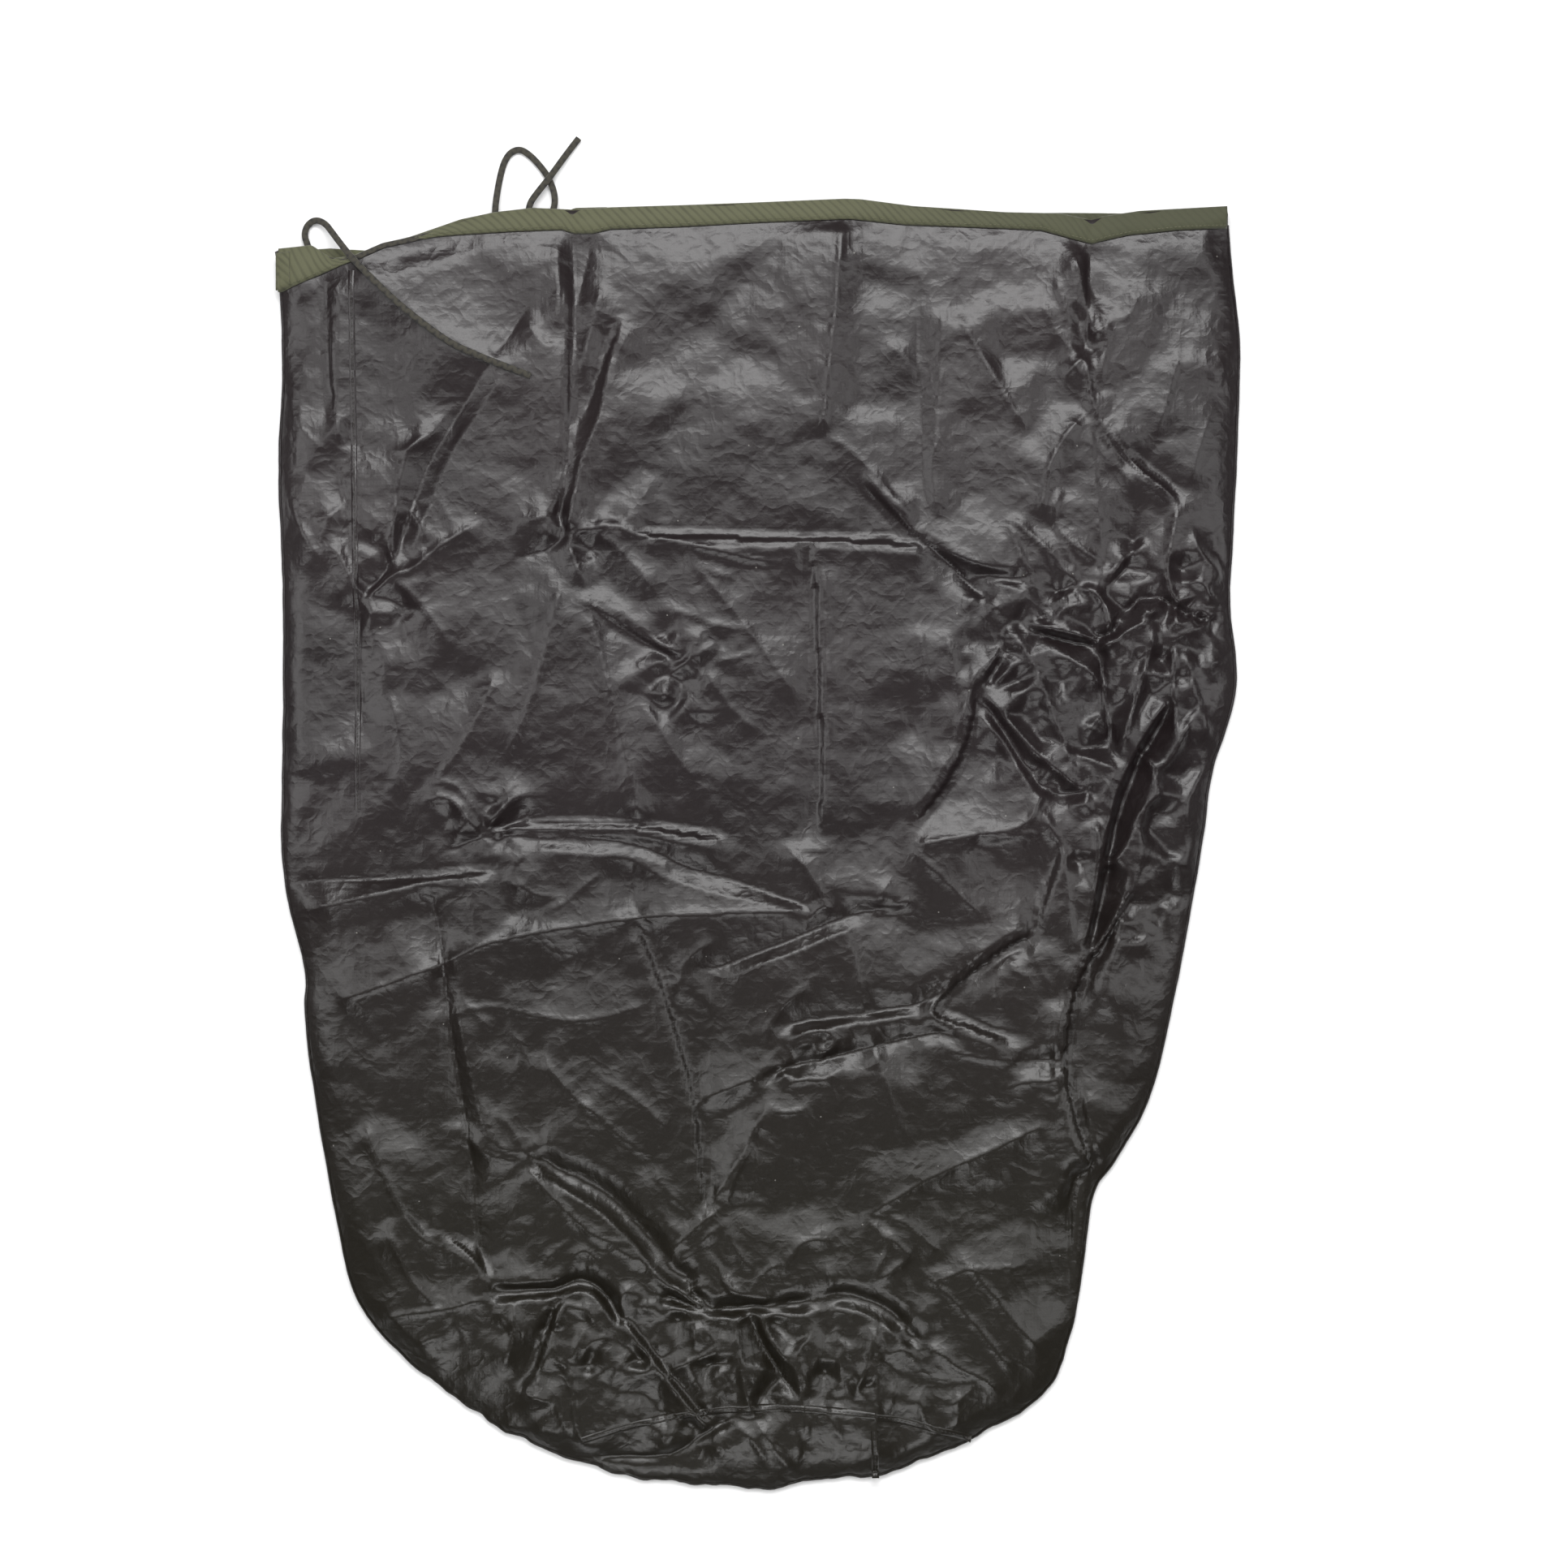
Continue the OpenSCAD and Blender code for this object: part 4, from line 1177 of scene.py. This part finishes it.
def makeCloth():
    d = coatedCloth
    material, t = newMaterial("coatedNylonCloth")
    place = addNode(t, "TexCoord")
    spot = (place, "Object")
    patches = addNode(t, "TexNoise", {"Vector": spot, "Scale": 7.0, "Detail": 3.0})
    tone = addNode(t, "ValToRGB", {"Fac": (patches, "Fac")})
    rampStops(tone, [(0.3, linear(d["colour"])), (0.72, linear(d["worn"]))])
    parts = addNode(t, "SeparateXYZ", {"Vector": spot})
    low = addNode(t, "MapRange", {"Value": (parts, "Y"), "From Min": 0.05, "From Max": -0.3})
    olive = addNode(t, "MixRGB", {
        "Fac": (low, "Result"), "Color1": (tone, "Color"), "Color2": linear(d["olive"])})
    # pale dots painted into the colour as glints, the same whether lit or in shade
    paintedGlintCells = addNode(t, "TexVoronoi", {"Vector": spot, "Scale": 1000 / d["paintedGlintSpacing"]})
    isPaintedGlint = addNode(t, "MapRange", {"Value": (paintedGlintCells, "Distance"), "From Min": 0.03, "From Max": 0.018})
    colour = addNode(t, "MixRGB", {
        "Fac": (isPaintedGlint, "Result"), "Color1": (olive, "Color"), "Color2": linear(d["paintedGlint"])})
    bent = addNode(t, "TexNoise", {"Vector": spot, "Scale": 45.0, "Detail": 2.0})
    bend = addNode(t, "MixRGB", {
        "Fac": 0.018, "Color1": spot, "Color2": (bent, "Color")}, blend_type="LINEAR_LIGHT")
    wrinkles = addNode(t, "TexVoronoi", {
        "Vector": (bend, "Color"), "Scale": 1000 / d["wrinkle"]}, feature="F1")
    soft = addNode(t, "TexNoise", {"Vector": spot, "Scale": 120.0, "Detail": 4.0, "Roughness": 0.6})
    grid = {"Vector": spot, "Scale": 1000 / d["weave"] / 6.283, "Distortion": 0.4}
    threads = addNode(t, "TexWave", grid, bands_direction="X")
    picks = addNode(t, "TexWave", grid, bands_direction="Y")
    weave = addNode(t, "Math", {0: (threads, "Fac"), 1: (picks, "Fac")}, operation="ADD")
    wrinkled = addNode(t, "Bump", {"Height": (wrinkles, "Distance"), "Strength": 0.3, "Distance": 0.0014})
    rumpled = addNode(t, "Bump", {
        "Height": (soft, "Fac"), "Strength": 0.4, "Distance": 0.0008, "Normal": (wrinkled, "Normal")})
    woven = addNode(t, "Bump", {
        "Height": (weave, "Value"), "Strength": 0.07, "Distance": 0.00012, "Normal": (rumpled, "Normal")})
    shader = addNode(t, "BsdfPrincipled", {
        "Base Color": (colour, "Color"), "Roughness": d["roughness"], "IOR": 1.46,
        "Normal": (woven, "Normal")})
    finishMaterial(t, shader)
    return material


# Nylon twill tape: olive, matt, with slanting ribs that catch the light.
twillTape = {
    "colour": "#3d3e28",
    "rib": "#4f5038",
    "fresh": "#31331e",      # less faded, to the right
    "roughness": 0.75,
    "twill": 1.8,            # mm between ribs: the real 0.8 is too fine to show
}


def makeTape():
    d = twillTape
    material, t = newMaterial("twillNylonTape")
    place = addNode(t, "TexCoord")
    ribs = addNode(t, "TexWave", {
        "Vector": (place, "UV"), "Scale": 1000 / d["twill"] / 6.283, "Distortion": 0.3,
    }, bands_direction="DIAGONAL")
    patches = addNode(t, "TexNoise", {"Vector": (place, "Object"), "Scale": 60.0, "Detail": 3.0})
    both = addNode(t, "Math", {0: (ribs, "Fac"), 1: (patches, "Fac")}, operation="ADD")
    tone = addNode(t, "ValToRGB", {"Fac": (both, "Value")})
    rampStops(tone, [(0.35, linear(d["colour"])), (1.0, linear(d["rib"]))])
    parts = addNode(t, "SeparateXYZ", {"Vector": (place, "Object")})
    right = addNode(t, "MapRange", {
        "Value": (parts, "X"), "From Min": 0.05, "From Max": 0.3, "To Max": 0.75})
    colour = addNode(t, "MixRGB", {
        "Fac": (right, "Result"), "Color1": (tone, "Color"), "Color2": linear(d["fresh"])})
    bump = addNode(t, "Bump", {"Height": (ribs, "Fac"), "Strength": 0.4, "Distance": 0.0004})
    shader = addNode(t, "BsdfPrincipled", {
        "Base Color": (colour, "Color"), "Roughness": d["roughness"], "Normal": (bump, "Normal"),
        "Sheen Weight": 0.25, "Sheen Roughness": 0.5})
    finishMaterial(t, shader)
    return material


# Flat tubular nylon braid: grey-brown yarns that cross in a herringbone, matt.
flatBraid = {
    "dark": "#1b1917",
    "light": "#343128",
    "roughness": 0.8,
    "yarn": 2.2,             # mm between yarns along the cord
}


def makeBraid():
    d = flatBraid
    material, t = newMaterial("flatNylonBraid")
    place = addNode(t, "TexCoord")
    slant = []
    for turn in (1, -1):
        mapping = addNode(t, "Mapping", {
            "Vector": (place, "UV"), "Scale": (1000 / d["yarn"], turn * 4, 1)})
        wave = addNode(t, "TexWave", {
            "Vector": (mapping, "Vector"), "Scale": 0.159, "Distortion": 0.5,
        }, bands_direction="DIAGONAL")
        slant.append(wave)
    yarns = addNode(t, "Math", {0: (slant[0], "Fac"), 1: (slant[1], "Fac")}, operation="MAXIMUM")
    tone = addNode(t, "ValToRGB", {"Fac": (yarns, "Value")})
    rampStops(tone, [(0.25, linear(d["dark"])), (0.9, linear(d["light"]))])
    bump = addNode(t, "Bump", {"Height": (yarns, "Value"), "Strength": 0.7, "Distance": 0.0004})
    shader = addNode(t, "BsdfPrincipled", {
        "Base Color": (tone, "Color"), "Roughness": d["roughness"], "Normal": (bump, "Normal"),
        "Sheen Weight": 0.2})
    finishMaterial(t, shader)
    return material


# Spun polyester sewing thread: pale olive, slightly glossy.
sewingThread = {
    "colour": "#4c4c38",
    "light": "#5e5e4a",
    "roughness": 0.6,
}


def makeThread(name, d):
    material, t = newMaterial(name)
    place = addNode(t, "TexCoord")
    patches = addNode(t, "TexNoise", {"Vector": (place, "Object"), "Scale": 900.0, "Detail": 2.0})
    tone = addNode(t, "ValToRGB", {"Fac": (patches, "Fac")})
    rampStops(tone, [(0.35, linear(d["colour"])), (0.65, linear(d["light"]))])
    shader = addNode(t, "BsdfPrincipled", {"Base Color": (tone, "Color"), "Roughness": d["roughness"]})
    finishMaterial(t, shader)
    return material


# The same thread in the cloth's own dark colour, in the long seam and the foot.
darkThread = {
    "colour": "#1d1b1a",
    "light": "#383531",
    "roughness": 0.6,
}

clothMaterial = makeCloth()
tapeMaterial = makeTape()
braidMaterial = makeBraid()
threadMaterial = makeThread("polyesterThread", sewingThread)
seamThreadMaterial = makeThread("darkPolyesterThread", darkThread)
print("materials made")


def flatSection():
    turns = np.linspace(0, 2 * math.pi, cord["sides"], endpoint=False)
    return [(cord["width"] / 2 * math.cos(a), cord["thick"] / 2 * math.sin(a)) for a in turns]


def makeTail(name, route):
    path = evenly(smoothLine(route, 3), cord["step"])
    sway = 0.22 * np.sin(np.linspace(0, 9, len(path)))
    return sweep(name, path, flatSection(), twist=sway), path


leftCord, leftPath = makeTail("drawcordLeft", leftRoute)
rightCord, rightPath = makeTail("drawcordRight", rightRoute)
giveMaterial(leftCord, braidMaterial)
bendWithMouth(leftCord)
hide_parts("drawcord_left_tail")
finishBack(rightCord, "braided_cord", braidMaterial, "drawcord_right_tail")
print("cords laid")

# the seam across the foot, a shallow arch
seamLow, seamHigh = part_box("foot_seam_lap")
footSeam = {
    "middle": (seamLow.x + seamHigh.x) / 2 / mm,
    "half": (seamHigh.x - seamLow.x) / 2 / mm,
    "top": seamHigh.y / mm,
    "rise": 27,
    "lapWidth": 6,
    "lift": 0.4,
}
archRadius = (footSeam["half"] ** 2 + footSeam["rise"] ** 2) / (2 * footSeam["rise"])


def seamArch(x):
    away = np.clip(np.abs(x - footSeam["middle"]), 0, archRadius * 0.9)
    return footSeam["top"] - 3 - (archRadius - np.sqrt(archRadius ** 2 - away ** 2))


whole = makeFront()
clothTree = treeOf(whole)
print("front draped")

front = partOf(whole, "front", lambda c: c.y / mm >= seamArch(c.x / mm))
foot = partOf(whole, "foot", lambda c: c.y / mm < seamArch(c.x / mm))
bpy.data.objects.remove(whole)
front.name = "front"
fronts = finishFront(front, "coated_cloth", clothMaterial, "front_panel")


def backHeight(xy):
    return np.clip(1.5 + 1.6 * ripple(xy, 70, 5.5), 0.3, 3)


def makeBack():
    points, used, rim, cells = cutGrid(sack["grid"] * 2)
    xy = points[used]
    z = backHeight(xy)
    z[rim[used]] = 0.8
    piece = gridMesh("back", points, used, cells, z)
    editAll(piece, bpy.ops.mesh.flip_normals)
    return piece


# The cloth's fold round an edge of the sack, from the front down to the back.
edgeFold = {
    "bulge": 2.2,
    "rows": 7,
}


def makeEdge(name, ring):
    ring = evenly(ring, 3)
    outward = -leftOf(ring)
    top = topAlong(clothTree, ring - outward * 1.2)
    rows = []
    for turn in np.linspace(math.pi / 2, -math.pi / 2, edgeFold["rows"]):
        xy = ring + outward * edgeFold["bulge"] * (math.cos(turn) - 0.3)
        z = (top + 0.6) / 2 + (top - 0.6) / 2 * math.sin(turn)
        rows.append(np.column_stack([xy, z]))
    return stripPiece(name, rows[::-1])


side = outlineSide
isFoot = side[:, 1] < seamArch(side[:, 0])
firstFoot = int(np.argmax(isFoot))
lastFoot = len(side) - int(np.argmax(isFoot[::-1]))
leftEdge = makeEdge("leftSide", side[:firstFoot + 1])
rightEdge = makeEdge("rightSide", side[lastFoot - 1:])
footEdge = makeEdge("footEdge", side[firstFoot:lastFoot])
back = makeBack()
finishBack(back, "coated_cloth", clothMaterial, "back_panel")
finishBack(leftEdge, "coated_cloth", clothMaterial, "left_side_fold")
finishBack(rightEdge, "coated_cloth", clothMaterial, "right_side_fold")
finishBack(footEdge, "coated_cloth", clothMaterial, "foot_panel")
finishBack(foot, "coated_cloth", clothMaterial, "foot_panel")
print("back, sides and foot made")

# the seams: laps of cloth with a row of stitches
seams = {
    "longWidth": 5,
    "longLift": 0.35,
    "dartX": 94,
    "dartWidth": 6,
}
longLine = [(-331, 466), (-330, 380), (-328.5, 290), (-327.5, 205), (-326, 110), (-326, 28)]
longLap = lapPiece("longSeam", longLine, seams["longWidth"], seams["longLift"], clothTree)
longStitches = stitchRow("longSeamStitches", longLine, treeOf(longLap))
archLine = [(x, seamArch(x) + 1) for x in np.linspace(-143, 173, 60)]
footLap = lapPiece("footSeam", archLine, footSeam["lapWidth"], footSeam["lift"], clothTree)
footStitches = stitchRow("footSeamStitches", archLine, treeOf(footLap))
dartLow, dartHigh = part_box("foot_dart_lap")
dartLine = [(seams["dartX"], dartHigh.y / mm), (seams["dartX"] + 1, dartLow.y / mm)]
dartLap = lapPiece("footDart", dartLine, seams["dartWidth"], footSeam["lift"], clothTree)
dartStitches = stitchRow("footDartStitches", dartLine, treeOf(dartLap))
finishFront(longLap, "coated_cloth", clothMaterial, "long_seam_lap")
finishFront(longStitches, "thread", seamThreadMaterial, "long_seam_stitches")
finishBack(footLap, "coated_cloth", clothMaterial, "foot_seam_lap")
finishBack(footStitches, "thread", seamThreadMaterial, "foot_seam_stitches")
finishBack(dartLap, "coated_cloth", clothMaterial, "foot_dart_lap")
finishBack(dartStitches, "thread", seamThreadMaterial, "foot_dart_stitches")
print("seams sewn")

# The tape folded over each edge of the mouth, with the drawcord inside it.
tape = {
    "step": 2.2,
    "lift": 0.9,             # the tape over the cloth
    "bulge": 2.6,            # and over the cord inside it
    "inner": 16,             # how far the tape reaches inside the mouth
    "backWidth": 18,         # the back half of the tape
    "thickness": 0.5,
    "stitchIn": 2.6,         # the stitches, in from the tape's lower edge
}
tapeDents = [                # place, depth and width, mm
    (-152, 1.6, 4), (-118, -1.0, 9), (272, 1.6, 5), (-243, 0.8, 8), (66, -0.8, 6),
    (160, 0.6, 12), (-30, 0.5, 14), (318, 0.7, 9),
]


def lineY(line, x):
    line = np.array(line, float)
    return np.interp(x, line[:, 0], line[:, 1])


def mouthTape(name, xs, footY, topY, sheetZ):
    dent = np.zeros(len(xs))
    for place, depth, width in tapeDents:
        dent -= depth * np.exp(-((xs - place) / width) ** 2)
    wide = np.clip((topY - footY) / 14, 0.15, 1)
    rows = []
    for v in np.linspace(0, 1, 9):
        y = footY + (topY - footY) * v
        swell = math.sin(math.pi * min(v * 1.1, 1)) ** 0.8 * tape["bulge"] * wide
        z = sheetZ(xs, y) + tape["lift"] * (1 - 0.5 * v) + swell + dent * min(1, v * 2) * wide
        rows.append(np.column_stack([xs, y, z]))
    edgeZ = sheetZ(xs, topY)
    for turn in (0.35, 0.75):
        y = topY + 1.1 * math.sin(turn * math.pi)
        rows.append(np.column_stack([xs, y, np.maximum(edgeZ + 0.4 - 1.8 * turn, tape["thickness"])]))
    for v in (0.0, 0.5, 1.0):
        y = topY - tape["inner"] * v
        z = sheetZ(xs, np.minimum(y, topY - 1)) - 1.5
        rows.append(np.column_stack([xs, y, np.maximum(z, tape["thickness"])]))
    piece = stripPiece(name, rows)
    solidify(piece, tape["thickness"] * mm)
    return piece


def onFront(xs, ys):
    ys = np.minimum(ys, lineY(mouthTop, xs) - 2.5)
    return topAlong(clothTree, np.column_stack([xs, ys]), 2)


tapeXs = np.arange(-391, 382.5, tape["step"])
frontTape = mouthTape("frontTape", tapeXs, lineY(tapeFoot, tapeXs), lineY(mouthTop, tapeXs), onFront)
frontTapeTree = treeOf(frontTape)
stitchLine = np.column_stack([tapeXs, lineY(tapeFoot, tapeXs) + tape["stitchIn"]])
leftOfFold = stitchLine[tapeXs < fold["x"] / mm - 1.6]
rightOfFold = stitchLine[tapeXs > fold["x"] / mm + 1.6]
for name, line in (("tapeStitchesLeft", leftOfFold), ("tapeStitchesRight", rightOfFold)):
    row = stitchRow(name, line, frontTapeTree)
    finishFront(row, "thread", threadMaterial, "front_binding_stitches")

backTop = [                  # the back tape's top, seen here and there behind the front one
    (-394, 482), (-350, 485), (-318, 483), (-300, 485), (-243, 504), (-215, 510), (-160, 514),
    (-150, 518), (-125, 518.6), (-112, 516), (0, 519), (70, 522), (125, 516), (200, 513.5),
    (250, 514), (300, 513.5), (330, 513), (382, 516),
]


def onBack(xs, ys):
    return backHeight(np.column_stack([xs, ys])) * 0.5 + 0.9


def backFoot(xs):
    return lineY(backTop, xs) - tape["backWidth"]


backTape = mouthTape("backTape", tapeXs, backFoot(tapeXs), lineY(backTop, tapeXs), onBack)
backTapeTree = treeOf(backTape)
backStitchLine = np.column_stack([tapeXs, backFoot(tapeXs) + tape["stitchIn"]])
backStitches = stitchRow("backTapeStitches", backStitchLine, backTapeTree)
finishBack(backTape, "woven_tape", tapeMaterial, "back_binding")
finishBack(backStitches, "thread", threadMaterial, "back_binding_stitches")


# the drawcord inside the tape, pressed flat, from its buttonhole to the right corner
def cordInside(name, fromX, footY, topY, sheetZ):
    xs = np.arange(fromX, cord["insideEnd"], 3.0)
    y = (footY(xs) + topY(xs)) / 2
    path = smoothLine(np.column_stack([xs, y, sheetZ(xs, y) + cord["insideLift"]]) * mm, 1)
    wide, thick = cord["insidePressed"]
    return sweep(name, path, [(a * wide, b * thick) for a, b in flatSection()])


def frontFoot(xs):
    return lineY(tapeFoot, xs)


def frontTop(xs):
    return lineY(mouthTop, xs)


frontRun = cordInside("cordInFront", leftHole.x / mm, frontFoot, frontTop, onFront)
backRun = cordInside("cordInBack", rightHole.x / mm, backFoot, lambda xs: lineY(backTop, xs), onBack)
finishFront(frontRun, "braided_cord", braidMaterial, "drawcord_front_run")
finishBack(backRun, "braided_cord", braidMaterial, "drawcord_back_run")


# a ring of close stitches round the slit that a tail comes out of
def buttonhole(name, node):
    low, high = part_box(node)
    middle = (low + high) / 2
    turns = np.linspace(0, 2 * math.pi, 29)
    ring = np.column_stack([
        (middle.x + (high.x - low.x) * 0.38 * np.cos(turns)) / mm,
        (middle.y + (high.y - low.y) * 0.44 * np.sin(turns)) / mm,
    ])
    x1, y1, x2, y2 = low.x - 0.01, low.y - 0.01, high.x + 0.01, high.y + 0.01
    corners = [(x1, y1, middle.z), (x2, y1, middle.z), (x2, y2, middle.z), (x1, y2, middle.z)]
    flat = addMesh("flat", corners, [(0, 1, 2, 3)])
    tree = treeOf(flat)
    bpy.data.objects.remove(flat)
    return stitchRow(name, ring, tree, length=1.3, pitch=1.0)


leftRing = buttonhole("leftButtonhole", "left_cord_buttonhole")
rightRing = buttonhole("rightButtonhole", "right_cord_buttonhole")
finishFront(leftRing, "thread", threadMaterial, "left_cord_buttonhole")
finishBack(rightRing, "thread", threadMaterial, "right_cord_buttonhole")

# the tape's lapped ends at the left corner, held by a bar of close stitches
lapLow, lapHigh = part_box("binding_lap")
tackLow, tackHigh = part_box("binding_lap_stitches")
lapXs = np.linspace(lapLow.x / mm, lapHigh.x / mm, 8)
lapRows = []
for v in np.linspace(0.04, 0.93, 9):
    y = lineY(tapeFoot, lapXs) * (1 - v) + lineY(mouthTop, lapXs) * v
    z = topAlong(frontTapeTree, np.column_stack([lapXs, y]), 1) + 0.6
    lapRows.append(np.column_stack([lapXs, y, z]))
tapeLap = stripPiece("tapeLap", lapRows)
solidify(tapeLap, tape["thickness"] * mm)
tackX = (tackLow.x + tackHigh.x) / 2 / mm
tackLine = [(tackX, lineY(tapeFoot, tackX) + 5), (tackX, lineY(mouthTop, tackX) - 6)]
tack = stitchRow("tapeLapTack", tackLine, treeOf(tapeLap), length=2.2, pitch=1.5)
finishBack(tapeLap, "woven_tape", tapeMaterial, "binding_lap")
finishBack(tack, "thread", threadMaterial, "binding_lap_stitches")
finishFront(frontTape, "woven_tape", tapeMaterial, "front_binding")
print("mouth bound")

# a plain pale floor
bpy.ops.object.select_all(action="DESELECT")
bpy.ops.mesh.primitive_plane_add(size=8)
floor = bpy.context.active_object
floor.name = "floor"
floorMaterial, t = newMaterial("palePaper")
grain = addNode(t, "TexNoise", {"Scale": 3.0})
tone = addNode(t, "ValToRGB", {"Fac": (grain, "Fac")})
rampStops(tone, [(0.4, linear("#f4f4f4")), (0.6, linear("#f6f6f6"))])
finishMaterial(t, addNode(t, "BsdfPrincipled", {"Base Color": (tone, "Color"), "Roughness": 0.9}))
giveMaterial(floor, floorMaterial)


def softLight(name, place, size, watts):
    data = bpy.data.lights.new(name, "AREA")
    data.shape = "RECTANGLE"
    data.size, data.size_y = size
    data.energy = watts
    light = bpy.data.objects.new(name, data)
    light.location = place
    light.rotation_euler = (Vector((0, 0, 0)) - Vector(place)).to_track_quat("-Z", "Y").to_euler()
    bpy.context.scene.collection.objects.link(light)


for name, (place, size, watts) in studio["lights"].items():
    softLight(name, place, size, watts)
sky = bpy.data.worlds.new("sky")
sky.use_nodes = True
sky.node_tree.nodes["Background"].inputs["Color"].default_value = (1, 1, 1, 1)
sky.node_tree.nodes["Background"].inputs["Strength"].default_value = studio["sky"]
bpy.context.scene.world = sky
bpy.context.scene.view_settings.view_transform = "Standard"
